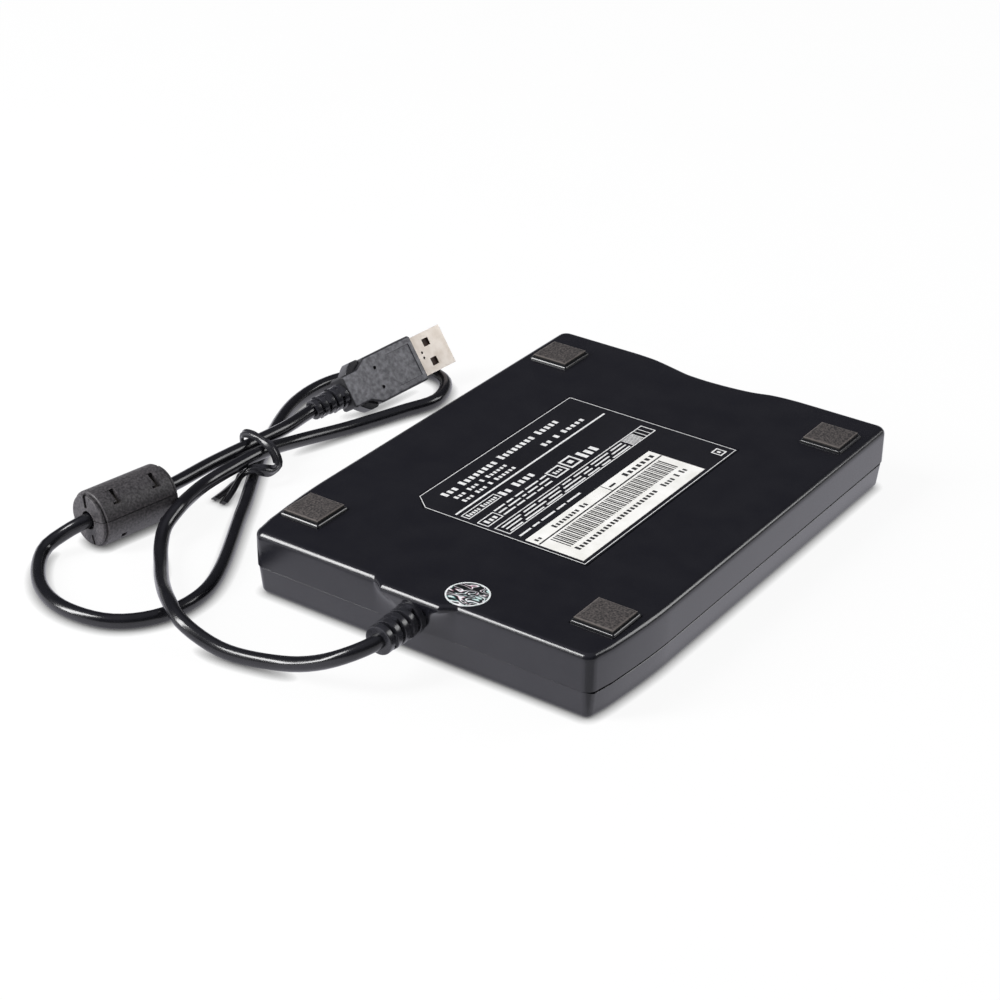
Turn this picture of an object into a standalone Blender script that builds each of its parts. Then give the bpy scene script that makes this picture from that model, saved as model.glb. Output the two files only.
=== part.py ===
"""External floppy disk drive, lying on its top cover with its foot pads and label up.

Metres, +Z up. The disk slot and the eject button face -Y, the lead leaves at +Y. The origin is the
middle of the box round the drive without its lead, at the height of the surface that it lies on.
A disk goes in along +Y. The mechanism hangs upside down here, so a loaded disk moves towards +Z.
"""

import math

import bmesh
import bpy
from mathutils import Matrix, Vector

MM = 0.001

# Clearances and cutters
GAP = 0.3 * MM
RUNNING_GAP = 0.4 * MM
LIFT_GAP = 0.5 * MM
OVERRUN = 1.0 * MM

# The disk that the drive takes
DISK_WIDTH = 90.0 * MM
DISK_LENGTH = 94.0 * MM
DISK_SIDE_ROOM = 0.5 * MM
HUB_FROM_LEADING_EDGE = 46.0 * MM
OUTER_TRACK_RADIUS = 39.5 * MM
INNER_TRACK_RADIUS = 24.7 * MM
PUSHED_IN = 4.0 * MM

# Sheet metal
SHEET = 0.5 * MM
SHIELD_SHEET = 0.4 * MM
CHASSIS_SHEET = 0.8 * MM

# Heights, stacked up from the surface that the top cover lies on
COVER_WALL = 1.5 * MM
BAY_HEIGHT = 4.4 * MM
LOAD_TRAVEL = 2.0 * MM
SWITCH_ROOM = 1.8 * MM
BOARD_THICKNESS = 0.8 * MM
CHIP_ROOM = 1.6 * MM
FLOOR_WALL = 1.5 * MM
SHIELD_LOW = COVER_WALL + RUNNING_GAP
CRADLE_LOW = SHIELD_LOW + SHIELD_SHEET + LIFT_GAP
BAY_LOW = CRADLE_LOW + SHEET
BAY_TOP = BAY_LOW + BAY_HEIGHT
LIP_TOP = BAY_TOP + SHEET
LOADED_BAY_TOP = BAY_TOP + LOAD_TRAVEL
SLIDE_LOW = LIP_TOP + LOAD_TRAVEL + GAP
SLIDE_TOP = SLIDE_LOW + SHEET
CHASSIS_LOW = SLIDE_TOP + GAP
CHASSIS_TOP = CHASSIS_LOW + CHASSIS_SHEET
BOARD_LOW = CHASSIS_TOP + SWITCH_ROOM
BOARD_TOP = BOARD_LOW + BOARD_THICKNESS
SHELL_INSIDE = BOARD_TOP + CHIP_ROOM
CASE_HEIGHT = SHELL_INSIDE + FLOOR_WALL

# Widths, stacked out from the middle of the disk
SIDE_ROOM = 2.4 * MM
SIDE_WALL = 1.8 * MM
BAY_HALF = DISK_WIDTH / 2 + DISK_SIDE_ROOM
CRADLE_HALF = BAY_HALF + SHEET
SLIDE_INNER = CRADLE_HALF + RUNNING_GAP
SLIDE_HALF = SLIDE_INNER + SHEET
CHASSIS_INNER = SLIDE_HALF + RUNNING_GAP
CHASSIS_HALF = CHASSIS_INNER + SHEET
CASE_WIDTH = 2 * (CHASSIS_HALF + SIDE_ROOM + SIDE_WALL)

# Lengths, stacked back from the front
BUTTON_PROUD = 1.0 * MM
HEAD_TRAVEL = OUTER_TRACK_RADIUS - INNER_TRACK_RADIUS
CARRIAGE_BEHIND_DISK = 1.4 * MM
CARRIAGE_LENGTH = 6.8 * MM
CARRIAGE_TO_BRIDGE = 4.7 * MM
BRIDGE_DEPTH = 13.5 * MM
BRIDGE_TO_WALL = 1.0 * MM
CARRIAGE_ROOM = HEAD_TRAVEL + CARRIAGE_BEHIND_DISK + CARRIAGE_LENGTH + CARRIAGE_TO_BRIDGE
REAR_DEPTH = CARRIAGE_ROOM + BRIDGE_DEPTH + BRIDGE_TO_WALL + SIDE_WALL
BOSS_DEPTH = 2.2 * MM
CASE_LENGTH = PUSHED_IN + DISK_LENGTH + REAR_DEPTH
FRONT_Y = BUTTON_PROUD - (CASE_LENGTH + BOSS_DEPTH + BUTTON_PROUD) / 2
REAR_Y = FRONT_Y + CASE_LENGTH
DISK_END_Y = FRONT_Y + PUSHED_IN + DISK_LENGTH
SPINDLE_Y = DISK_END_Y - HUB_FROM_LEADING_EDGE
HEAD_Y = SPINDLE_Y + OUTER_TRACK_RADIUS

# Case
SEAM_HEIGHT = 7.3 * MM
CORNER_RADIUS = 2.5 * MM
TAPER_DEPTH = 2.4 * MM
TAPER_LENGTH = 30.0 * MM
EDGE_ROUND = 1.0 * MM
COVER_STEP = 0.3 * MM
COVER_DRAFT = 0.6 * MM
TONGUE = 0.7 * MM
TONGUE_HEIGHT = 1.5 * MM
SCOOP_HALF = 26.0 * MM
SCOOP_DEPTH = 3.6 * MM
SCOOP_SHARES = (
    (-1.0, 0.0), (-0.83, 0.07), (-0.73, 0.16), (-0.64, 0.29), (-0.56, 0.48), (-0.47, 0.66),
    (-0.37, 0.78), (-0.2, 0.92), (0.0, 1.0), (0.1, 1.0), (0.2, 0.97), (0.31, 0.9), (0.44, 0.68),
    (0.56, 0.46), (0.69, 0.24), (0.8, 0.1), (1.0, 0.0),
)
BOSS_HALF = 12.2 * MM
BOSS_FLAT_HALF = 8.2 * MM
BOSS_STEPS = 4
CORNER_STEPS = 5

# Front bezel
BEZEL_WALL = 1.8 * MM
BEZEL_MARGIN = 1.4 * MM
BEZEL_RIM = 0.6 * MM
BEZEL_BACK = FRONT_Y + SCOOP_DEPTH + BEZEL_WALL
BEZEL_HALF = BAY_HALF + BEZEL_MARGIN

# Slot door
DOOR_THICKNESS = 0.9 * MM
DOOR_OVERLAP = 0.3 * MM
STUB_RADIUS = 0.3 * MM
DOOR_AXIS_Y = BEZEL_BACK + GAP + DOOR_THICKNESS / 2
DOOR_AXIS_Z = BAY_LOW - GAP - DOOR_THICKNESS / 2
DOOR_TOP = BAY_TOP + DOOR_OVERLAP
DOOR_HALF = BAY_HALF + DOOR_OVERLAP
DOOR_REACH = math.hypot(DOOR_TOP - DOOR_AXIS_Z, DOOR_THICKNESS / 2)

# Disk cradle
CRADLE_FRONT = DOOR_AXIS_Y + DOOR_REACH + RUNNING_GAP
CRADLE_REAR = DISK_END_Y + GAP + SHEET
LIP_WIDTH = 2.5 * MM
LIP_SETBACK = 4.0 * MM
STOP_INNER = 20.0 * MM
STOP_WIDTH = 16.0 * MM
STOP_HEIGHT = 3.2 * MM
PIN_RADIUS = 0.7 * MM
PIN_Z = BAY_LOW + BAY_HEIGHT / 2
PIN_FROM_FRONT = 14.0 * MM
PIN_FROM_REAR = 12.8 * MM
ARM_NOTCH_HALF = 9.0 * MM

# Eject slide and button
EJECT_TRAVEL = 4.5 * MM
STRIP_LENGTH = 8.5 * MM
STRIP_FRONT = CRADLE_FRONT + EJECT_TRAVEL + PIN_RADIUS
SLIDE_REAR_MARGIN = 3.0 * MM
SLIDE_WALL_LOW = PIN_Z - 1.5 * LOAD_TRAVEL / 2
BUTTON_FROM_TRIM_END = 13.4 * MM
BUTTON_FROM_MIDDLE = BEZEL_HALF - BUTTON_FROM_TRIM_END
BUTTON_WIDTH = 11.0 * MM
BUTTON_HEIGHT = 3.6 * MM
BUTTON_TAIL = 1.3 * MM
BUTTON_BEVEL = 0.4 * MM
TONGUE_WIDTH = 6.0 * MM
TONGUE_GRIP = 2.0 * MM
SPRING_TAB = 0.9 * MM
SPRING_TAB_FROM_FRONT = 24.0 * MM
SPRING_LENGTH = 17.0 * MM
SPRING_RADIUS = 0.7 * MM
SPRING_WIRE = 0.2 * MM
SPRING_TURNS = 8
SPRING_STEPS = 8

# Shutter lever, pivoted on the cradle
LEVER_FROM_DISK_SIDE = 9.0 * MM
LEVER_PIVOT_X = LEVER_FROM_DISK_SIDE - DISK_WIDTH / 2
LEVER_PIVOT_BACK = 3.0 * MM
LEVER_REACH = 22.0 * MM
LEVER_WIDTH = 4.0 * MM
LEVER_SHEET = 0.5 * MM
LEVER_PIN_RADIUS = 1.0 * MM
FINGER_RADIUS = 0.9 * MM
LEVER_REST = math.radians(-55)
LEVER_SWING = math.radians(64)
LEVER_ARC_STEPS = 8

# Chassis
CHASSIS_FRONT = BEZEL_BACK + GAP + RUNNING_GAP
WALL_FRONT = FRONT_Y + SIDE_WALL + SIDE_ROOM / 4
WALL_BEHIND_DISK = 8.0 * MM
CHASSIS_REAR_ROOM = 9.0 * MM
STANDOFF_RADIUS = 2.4 * MM

# Spindle
BOARD_CLEAR = 0.5 * MM
MAGNET_INNER = 9.5 * MM
MAGNET_OUTER = 19.0 * MM
MAGNET_THICKNESS = 0.6 * MM
COIL_RADIUS = 4.2 * MM
COIL_BORE = 1.6 * MM
COIL_CIRCLE = 14.0 * MM
COIL_HEIGHT = 1.2 * MM
STATOR_SHEET = 0.4 * MM
ROTOR_ROOM = 1.2 * MM
HEAD_LENGTH = 4.6 * MM
HEAD_WIDTH = 5.0 * MM
ROTOR_RADIUS = INNER_TRACK_RADIUS - HEAD_LENGTH / 2 - ROTOR_ROOM
ROTOR_SKIN = 0.6 * MM
ROTOR_WALL = 1.2 * MM
HUB_RADIUS = 13.0 * MM
HUB_SHEET = 0.5 * MM
SHAFT_RADIUS = 1.5 * MM
SHAFT_NOSE = 0.8 * MM
BEARING_RADIUS = 4.0 * MM
DRIVE_PIN_RADIUS = 0.8 * MM
DRIVE_PIN_OFFSET = 8.6 * MM
HUB_LOW = LOADED_BAY_TOP
ROTOR_LOW = HUB_LOW + HUB_SHEET + GAP
COIL_COUNT = 9

# Head carriage, at the outermost track
CARRIAGE_THICKNESS = 1.4 * MM
BASE_HALF = 5.0 * MM
EAR_INNER = 3.7 * MM
EAR_OUTER = 6.0 * MM
ARM_HALF = EAR_INNER - GAP
ARM_SHEET = 0.8 * MM
ARM_LOW = COVER_WALL + RUNNING_GAP
ARM_HUB = 1.8 * MM
ARM_PIN_RADIUS = 0.6 * MM
ARM_AXIS_RISE = 4.6 * MM
ARM_RIM = 0.7 * MM
HEAD_GAP = 0.2 * MM
CARRIAGE_FRONT = HEAD_Y - HEAD_LENGTH / 2
BLOCK_FRONT = DISK_END_Y + HEAD_TRAVEL + CARRIAGE_BEHIND_DISK
BLOCK_REAR = BLOCK_FRONT + CARRIAGE_LENGTH
CARRIAGE_TOP = CHASSIS_TOP
CARRIAGE_LOW = CARRIAGE_TOP - CARRIAGE_THICKNESS
ARM_AXIS_Y = (BLOCK_FRONT + BLOCK_REAR) / 2
ARM_AXIS_Z = ARM_LOW + ARM_AXIS_RISE

# Guide rail
RAIL_RADIUS = 0.9 * MM
RAIL_FROM_MIDDLE = 9.2 * MM
BUSH_HALF = 2.6 * MM
CLIP_LENGTH = 3.0 * MM
CLIP_FLANGE = 0.8 * MM
CLIP_FLANGE_WIDTH = 4.8 * MM
RAIL_Z = CHASSIS_TOP - RAIL_RADIUS
FRONT_CLIP_Y = BLOCK_FRONT - HEAD_TRAVEL - CLIP_LENGTH - 2 * RUNNING_GAP
REAR_CLIP_Y = BLOCK_REAR + 2 * RUNNING_GAP

# Lead screw and stepper motor
SCREW_PITCH = 3.75 * MM
SCREW_CORE = 0.85 * MM
SCREW_CREST = 1.4 * MM
SCREW_JOURNAL = 0.6 * MM
SCREW_SIDES = 10
SCREW_STEPS = 10
FOLLOWER_RADIUS = 0.4 * MM
FOLLOWER_INSET = 1.4 * MM
MOTOR_RADIUS = 5.4 * MM
MOTOR_LENGTH = 12.0 * MM
SCREW_X = EAR_OUTER + MOTOR_RADIUS + 3 * RUNNING_GAP
SCREW_Z = CARRIAGE_LOW - SCREW_CREST - GAP
SCREW_FRONT = DISK_END_Y + GAP
MOTOR_FRONT = BLOCK_FRONT + FOLLOWER_INSET + SCREW_PITCH / 2

# Sensor switches, held under the motor board
PLUNGER_RADIUS = 0.8 * MM
PLUNGER_TRAVEL = 1.0 * MM
SWITCH_SIZE = 4.0 * MM
PLUNGER_EDGE_INSET = 3.5 * MM
PRESENT_INSET = 11.5 * MM
PLUNGER_Y = CRADLE_FRONT - PLUNGER_RADIUS - RUNNING_GAP
PLUNGER_TIP = LOADED_BAY_TOP - 0.7 * PLUNGER_TRAVEL

# Boards
BOARD_TO_CHASSIS_SIDE = 3.8 * MM
BOARD_HALF = CHASSIS_HALF - BOARD_TO_CHASSIS_SIDE
BOARD_REAR_OVER_ROTOR = 6.0 * MM
BRIDGE_Z = 6.0 * MM
BRIDGE_FROM_SIDE = 15.0 * MM
BRIDGE_LEFT = BRIDGE_FROM_SIDE - CASE_WIDTH / 2
BRIDGE_RIGHT = 6.0 * MM
BRIDGE_WIDTH = BRIDGE_RIGHT - BRIDGE_LEFT
BRIDGE_CHIP_WIDTH = 0.186 * BRIDGE_WIDTH
CHIP_HEIGHT = 1.0 * MM
CHIP_SIDE = 8.0 * MM
CABLE_WIDTH = 0.2326 * BRIDGE_WIDTH
CABLE_THICKNESS = 0.3 * MM
CABLE_X = BRIDGE_LEFT + 0.21 * BRIDGE_WIDTH
PLUG_BLOCK_DEPTH = 4.0 * MM
PLUG_BLOCK_HEIGHT = 2.5 * MM
PLUG_BLOCK_X = BRIDGE_LEFT + 0.65 * BRIDGE_WIDTH
INNER_LEAD_RADIUS = 0.8 * MM
POST_RADIUS = 2.2 * MM

# Screws
SCREW_HEAD_RADIUS = 2.0 * MM
SCREW_HEAD_HEIGHT = 1.0 * MM
SCREW_SHANK_RADIUS = 1.0 * MM
CASE_SCREW_LENGTH = 4.7 * MM
CASE_SCREW_SINK = 0.6 * MM
BOSS_RADIUS = 3.4 * MM

# Light
LIGHT_FROM_SWITCH = 6.0 * MM
LIGHT_X = DISK_WIDTH / 2 - PRESENT_INSET - LIGHT_FROM_SWITCH
PIPE_WIDTH = 3.4 * MM
PIPE_HEIGHT = 1.0 * MM
LIGHT_SIZE = 1.8 * MM
LIGHT_Z = (CHASSIS_TOP + BOARD_LOW) / 2

# Feet, label and seal
FOOT_SIDE = 11.0 * MM
FOOT_HEIGHT = 1.3 * MM
FOOT_RIM = 0.4 * MM
FOOT_RIM_HEIGHT = 0.5 * MM
FOOT_FROM_SIDE = 9.2 * MM
FOOT_FROM_END = 16.0 * MM
PLATE_TO_BOSS = 2.4 * MM
REAR_PLATE_HALF = CASE_WIDTH / 2 - FOOT_FROM_SIDE - BOSS_RADIUS - PLATE_TO_BOSS
STICKER = 0.15 * MM
STICKER_POCKET = STICKER + GAP
LABEL_WIDTH = 52.0 * MM
LABEL_LENGTH = 72.0 * MM
LABEL_CUT = 5.0 * MM
BARCODE_X_SHARES = (0.31, 0.60)
BARCODE_Y_SHARES = (0.19, 0.988)
SEAL_RADIUS = 5.5 * MM
SEAL_X = -10.8 * MM
SEAL_FROM_REAR = 6.4 * MM

# Strain relief
RELIEF_X = -0.6 * MM
RELIEF_Z = 12.0 * MM
RELIEF_NECK = 2.9 * MM
RELIEF_FLANGE = 4.0 * MM
RELIEF_FLANGE_DEPTH = 1.6 * MM
RELIEF_BIG = 4.2 * MM
RELIEF_SMALL = 3.6 * MM
RELIEF_RIB = 1.7 * MM
RELIEF_GROOVE = 0.9 * MM
RELIEF_GROOVE_DEPTH = 0.9 * MM
RELIEF_RIBS = 5
RELIEF_LENGTH = RELIEF_RIBS * RELIEF_RIB + (RELIEF_RIBS - 1) * RELIEF_GROOVE
RELIEF_END_Y = REAR_Y + BOSS_DEPTH + GAP + RELIEF_LENGTH

# Lead
CORD_RADIUS = 1.9 * MM
CORD_SPACING = 8.0 * MM
CORD_HOLE = CORD_RADIUS + RUNNING_GAP

# Choke on the lead
CHOKE_MIDDLE = Vector((96.07, 65.9, 7.6)) * MM
CHOKE_AXIS = Vector((0.179, 0.984, 0.0)).normalized()
CHOKE_RADIUS = 7.4 * MM
CHOKE_LENGTH = 23.8 * MM
CHOKE_WALL = 1.5 * MM
CHOKE_CHAMFER = 1.4 * MM
CHOKE_HOLE = 2.9 * MM
CHOKE_CORE_BORE = 2.5 * MM

# Plug, rolled over onto one edge of its metal shell
PLUG_FRONT = Vector((85.4, -43.5, 9.6)) * MM
PLUG_HEADING = math.radians(-11)
PLUG_PITCH = math.radians(5)
PLUG_ROLL = math.radians(56)
PLUG_CORD_INSET = 20.0 * MM
PLUG_GRIP_DEPTH = 0.4 * MM
PLUG_LENGTH = 27.0 * MM
PLUG_HALF = 7.0 * MM
PLUG_REAR_HALF = 4.8 * MM
PLUG_THICKNESS = 7.4 * MM
PLUG_STRAIGHT = 19.0 * MM
PLUG_BEVEL = 0.7 * MM
PLUG_RELIEF_LENGTH = 11.0 * MM
PLUG_RELIEF_BIG = 3.6 * MM
PLUG_RELIEF_SMALL = 2.9 * MM
PLUG_RIBS = 4
SHELL_WIDTH = 12.0 * MM
SHELL_HEIGHT = 4.5 * MM
SHELL_SHEET = 0.3 * MM
SHELL_REACH = 11.8 * MM
SHELL_ROOT = 6.0 * MM
SHELL_WINDOW = 2.3 * MM
SHELL_WINDOW_OUT = 3.0 * MM
SHELL_WINDOW_FROM_ROOT = 5.2 * MM
TONGUE_PLATE = 1.9 * MM
CONTACT_WIDTH = 1.0 * MM
CONTACT_LENGTH = 8.0 * MM
CONTACT_PITCH = 2.3 * MM
CONTACT_SHEET = 0.15 * MM
CONTACT_COUNT = 4

# Route of the lead outside the drive, through hand-picked points in millimetres
CORD_INSIDE = 0.9 * MM
CORD_ROUTE_MM = (
    (3.8, 92.2, 9.9), (11.1, 94.3, 6.3), (20.3, 95.3, 3.3), (36.2, 97.7, 2.2), (48.4, 97.8, 5.4),
    (56.7, 93.5, 6.6), (65.9, 85.7, 4.8), (74.0, 77.3, 3.4), (79.2, 71.5, 3.8), (83.0, 65.5, 5.4),
    (84.4, 58.6, 7.2), (86.4, 52.0, 6.9), (88.3, 43.9, 6.4), (88.1, 32.6, 6.7), (87.6, 20.9, 6.5),
    (87.3, 7.4, 4.0), (83.2, -10.2, 2.0), (77.2, -27.3, 2.0), (73.6, -39.0, 2.0), (78.7, -50.0, 2.0),
    (87.4, -52.2, 2.0), (97.5, -43.5, 2.0), (105.0, -31.6, 2.0), (105.3, -14.3, 2.0), (92.2, 16.4, 2.0),
    (75.9, 44.0, 2.0), (57.5, 79.3, 2.0), (58.5, 94.0, 2.0), (66.5, 103.3, 2.0), (81.1, 105.5, 2.0),
    (93.8, 100.1, 2.0), (103.0, 88.6, 3.0), (101.6, 83.0, 5.2),
)
CORD_AFTER_CHOKE_MM = ((93.8, 34.5, 7.0), (92.6, 18.4, 6.7), (91.7, 7.1, 6.6))

# Tie round the crossing
TIE_RADIUS = 0.65 * MM
TIE_SPACING = 2.4 * MM
TIE_ROUTE_MM = (
    (87.65, 41.3, 0.9), (88.3, 36.4, 0.8), (89.5, 30.9, 0.8), (92.0, 25.4, 0.8), (94.6, 22.2, 1.3),
    (96.0, 20.6, 3.2), (96.1, 20.0, 5.9), (95.7, 20.2, 8.9), (92.6, 20.6, 10.1), (88.1, 21.0, 9.8),
    (84.8, 21.3, 8.9), (82.9, 21.4, 6.7), (81.9, 22.0, 4.7), (81.5, 24.6, 4.2), (82.5, 27.4, 5.1),
    (84.4, 29.2, 5.7), (86.1, 31.2, 4.5), (86.7, 33.6, 2.6), (86.0, 36.6, 1.5), (84.4, 41.6, 0.9),
)


def loft(rings, closed=False):
    """A solid through rings of points: its ends are capped, or the last ring meets the first."""
    shape = bmesh.new()
    loops = [[shape.verts.new(point) for point in ring] for ring in rings]
    pairs = list(zip(loops, loops[1:]))
    if closed:
        pairs.append((loops[-1], loops[0]))
    for low, high in pairs:
        for here in range(len(low)):
            there = (here + 1) % len(low)
            shape.faces.new((low[here], low[there], high[there], high[here]))
    if not closed:
        shape.faces.new(loops[0][::-1])
        shape.faces.new(loops[-1])
    bmesh.ops.recalc_face_normals(shape, faces=shape.faces)
    return shape


def block(x, y, z):
    """A box between two limits along each axis."""
    shape = bmesh.new()
    size = Matrix.Diagonal((x[1] - x[0], y[1] - y[0], z[1] - z[0], 1))
    middle = Matrix.Translation(((x[0] + x[1]) / 2, (y[0] + y[1]) / 2, (z[0] + z[1]) / 2))
    bmesh.ops.create_cube(shape, size=1, matrix=middle @ size)
    return shape


def about(middle, width):
    """The two limits of a width about its middle."""
    return (middle - width / 2, middle + width / 2)


def extruded(outline, axis, span):
    """An outline drawn out along an axis: its points are (y, z) along X, (x, z) along Y, (x, y) along Z."""
    place = {
        "x": lambda a, b, h: (h, a, b),
        "y": lambda a, b, h: (a, h, b),
        "z": lambda a, b, h: (a, b, h),
    }[axis]
    return loft([[place(a, b, h) for a, b in outline] for h in span])


def circle(radius, sides, middle=(0, 0)):
    """Points of a circle, as (a, b)."""
    turns = [2 * math.pi * step / sides for step in range(sides)]
    return [(middle[0] + radius * math.cos(turn), middle[1] + radius * math.sin(turn)) for turn in turns]


def arc(middle, radius, start, end, steps):
    """Points of an arc from one angle to another, as (a, b)."""
    turns = [start + (end - start) * step / steps for step in range(steps + 1)]
    return [(middle[0] + radius * math.cos(turn), middle[1] + radius * math.sin(turn)) for turn in turns]


def turned(profile, sides, bored=False):
    """A solid turned about Z from (radius, height) pairs. A bored one closes on its first pair."""
    rings = [[(a, b, height) for a, b in circle(radius, sides)] for radius, height in profile]
    return loft(rings, closed=bored)


def rod(axis, middle, radius, span, sides=12):
    """A round rod along an axis; middle holds the two other coordinates."""
    return extruded(circle(radius, sides, middle), axis, span)


def moved(shape, matrix):
    """The shape after a matrix."""
    bmesh.ops.transform(shape, matrix=matrix, verts=shape.verts)
    return shape


def along_y(x, z):
    """The matrix that lays a shape turned about Z along +Y, at the given x and z."""
    return Matrix.Translation((x, 0, z)) @ Matrix.Rotation(-math.pi / 2, 4, "X")


def together(shapes):
    """Several shapes as one mesh."""
    joined = bmesh.new()
    for shape in shapes:
        scrap = bpy.data.meshes.new("scrap")
        shape.to_mesh(scrap)
        joined.from_mesh(scrap)
        bpy.data.meshes.remove(scrap)
        shape.free()
    return joined


def finish(name, colour, roughness, metallic=0.0):
    """A plain material with a part's colour, roughness and metalness."""
    material = bpy.data.materials.new(name)
    material.use_nodes = True
    shader = material.node_tree.nodes["Principled BSDF"]
    shader.inputs["Base Color"].default_value = (*colour, 1)
    shader.inputs["Roughness"].default_value = roughness
    shader.inputs["Metallic"].default_value = metallic
    material.diffuse_color = (*colour, 1)
    return material


def add_object(name, shape):
    """An object that holds the shape, in the scene."""
    mesh = bpy.data.meshes.new(name)
    shape.to_mesh(mesh)
    shape.free()
    added = bpy.data.objects.new(name, mesh)
    bpy.context.scene.collection.objects.link(added)
    return added


def combine(piece, operation, shape):
    """Joins a shape to a piece, or cuts it out, with a hidden operand."""
    operand = add_object(f"{piece.name}_{operation.lower()}_{len(piece.modifiers)}", shape)
    operand.hide_render = True
    operand.display_type = "WIRE"
    modifier = piece.modifiers.new(operation.title(), "BOOLEAN")
    modifier.operation = operation
    modifier.solver = "EXACT"
    modifier.object = operand


def add_piece(name, shape, material, joins=(), cuts=(), axis_point=(0, 0, 0)):
    """A sub-part, with its origin at axis_point, the shapes that it joins and those cut out of it."""
    piece = add_object(name, moved(shape, Matrix.Translation(-Vector(axis_point))))
    piece.location = axis_point
    piece.data.materials.append(material)
    piece.data.shade_smooth()
    piece.data.set_sharp_from_angle(angle=math.radians(35))
    for joined in joins:
        combine(piece, "UNION", joined)
    for cutter in cuts:
        combine(piece, "DIFFERENCE", cutter)
    return piece


def add_wire(name, path, radius, material, rounding=0):
    """A tube along a path of points: a cord, a lead or a spring."""
    curve = bpy.data.curves.new(name, "CURVE")
    curve.dimensions = "3D"
    curve.bevel_depth = radius
    curve.bevel_resolution = rounding
    curve.use_fill_caps = True
    spline = curve.splines.new("POLY")
    spline.points.add(len(path) - 1)
    for point, place in zip(spline.points, path):
        point.co = (*place, 1)
    spline.use_smooth = True
    wire = bpy.data.objects.new(name, curve)
    bpy.context.scene.collection.objects.link(wire)
    curve.materials.append(material)
    return wire


def smooth_path(route, spacing):
    """Points a spacing apart along a smooth curve through the route's own points."""
    points = [Vector(point) for point in route]
    padded = [2 * points[0] - points[1], *points, 2 * points[-1] - points[-2]]
    fine = []
    for first, start, end, last in zip(padded, padded[1:], padded[2:], padded[3:]):
        for step in range(16):
            fine.append(spline_point(first, start, end, last, step / 16))
    fine.append(points[-1])
    lengths = [0]
    for start, end in zip(fine, fine[1:]):
        lengths.append(lengths[-1] + (end - start).length)
    count = max(2, round(lengths[-1] / spacing))
    path = []
    here = 0
    for step in range(count + 1):
        wanted = lengths[-1] * step / count
        while here < len(fine) - 2 and lengths[here + 1] < wanted:
            here += 1
        share = (wanted - lengths[here]) / (lengths[here + 1] - lengths[here])
        path.append(fine[here].lerp(fine[here + 1], share))
    return path


def spline_point(first, start, end, last, share):
    """A point between start and end on the curve whose knots are spaced by the root of their distance."""
    knots = [0]
    for one, other in ((first, start), (start, end), (end, last)):
        knots.append(knots[-1] + math.sqrt((other - one).length))
    t = knots[1] + share * (knots[2] - knots[1])
    a = blend(first, start, knots[0], knots[1], t)
    b = blend(start, end, knots[1], knots[2], t)
    c = blend(end, last, knots[2], knots[3], t)
    near = blend(a, b, knots[0], knots[2], t)
    far = blend(b, c, knots[1], knots[3], t)
    return blend(near, far, knots[1], knots[2], t)


def blend(one, other, low, high, t):
    """The point between two at t, where one stands at low and the other at high."""
    return one + (other - one) * ((t - low) / (high - low))


def helix(start, end, radius, turns, steps):
    """Points of a helix from one point to another, with an end on its axis at each side."""
    start = Vector(start)
    end = Vector(end)
    axis = (end - start).normalized()
    side = axis.orthogonal().normalized()
    other = axis.cross(side)
    points = []
    for step in range(turns * steps + 1):
        turn = 2 * math.pi * step / steps
        centre = start.lerp(end, step / (turns * steps))
        points.append(centre + radius * (math.cos(turn) * side + math.sin(turn) * other))
    return points


def case_outline(inset, height, boss=0.0):
    """The case seen from above, inset all round. boss is how far the lead's boss stands out behind."""
    side = CASE_WIDTH / 2 - inset
    rear_side = side - TAPER_DEPTH
    front = FRONT_Y + inset
    rear = REAR_Y - inset
    corner = max(CORNER_RADIUS - inset, GAP)
    quarter = math.pi / 2
    points = arc((-side + corner, front + corner), corner, 2 * quarter, 3 * quarter, CORNER_STEPS)
    points += [(across * SCOOP_HALF, front + deep * SCOOP_DEPTH) for across, deep in SCOOP_SHARES]
    points += arc((side - corner, front + corner), corner, 3 * quarter, 4 * quarter, CORNER_STEPS)
    points.append((side, REAR_Y - TAPER_LENGTH))
    points += arc((rear_side - corner, rear - corner), corner, 0, quarter, CORNER_STEPS)
    points += [(x, rear + rise * boss) for x, rise in boss_steps()]
    points += arc((corner - rear_side, rear - corner), corner, quarter, 2 * quarter, CORNER_STEPS)
    points.append((-side, REAR_Y - TAPER_LENGTH))
    return [(x, y, height) for x, y in points]


def boss_steps():
    """(x, rise) along the boss from +X to -X, where rise goes smoothly from 0 to 1 on each flank."""
    flank = []
    for step in range(BOSS_STEPS + 1):
        share = step / BOSS_STEPS
        x = BOSS_HALF + share * (BOSS_FLAT_HALF - BOSS_HALF)
        flank.append((x, (1 - math.cos(math.pi * share)) / 2))
    return flank + [(-x, rise) for x, rise in reversed(flank)]


def foot_places():
    """(name, x, y) of each foot pad and of the case screw under it."""
    x = CASE_WIDTH / 2 - FOOT_FROM_SIDE
    front = FRONT_Y + FOOT_FROM_END
    rear = REAR_Y - FOOT_FROM_END
    return (
        ("front_left", x, front),
        ("front_right", -x, front),
        ("rear_left", x, rear),
        ("rear_right", -x, rear),
    )


def front_window():
    """What is cut from the case's front wall for the bezel."""
    half = BEZEL_HALF + GAP
    return block(
        (-half, half),
        (FRONT_Y - OVERRUN, BEZEL_BACK + OVERRUN),
        (BAY_LOW - BEZEL_RIM - GAP, bezel_top() + GAP),
    )


def bezel_top():
    """The height of the bezel's upper edge, above the light's window."""
    return LIGHT_Z + PIPE_HEIGHT / 2 + GAP + BEZEL_RIM


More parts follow.
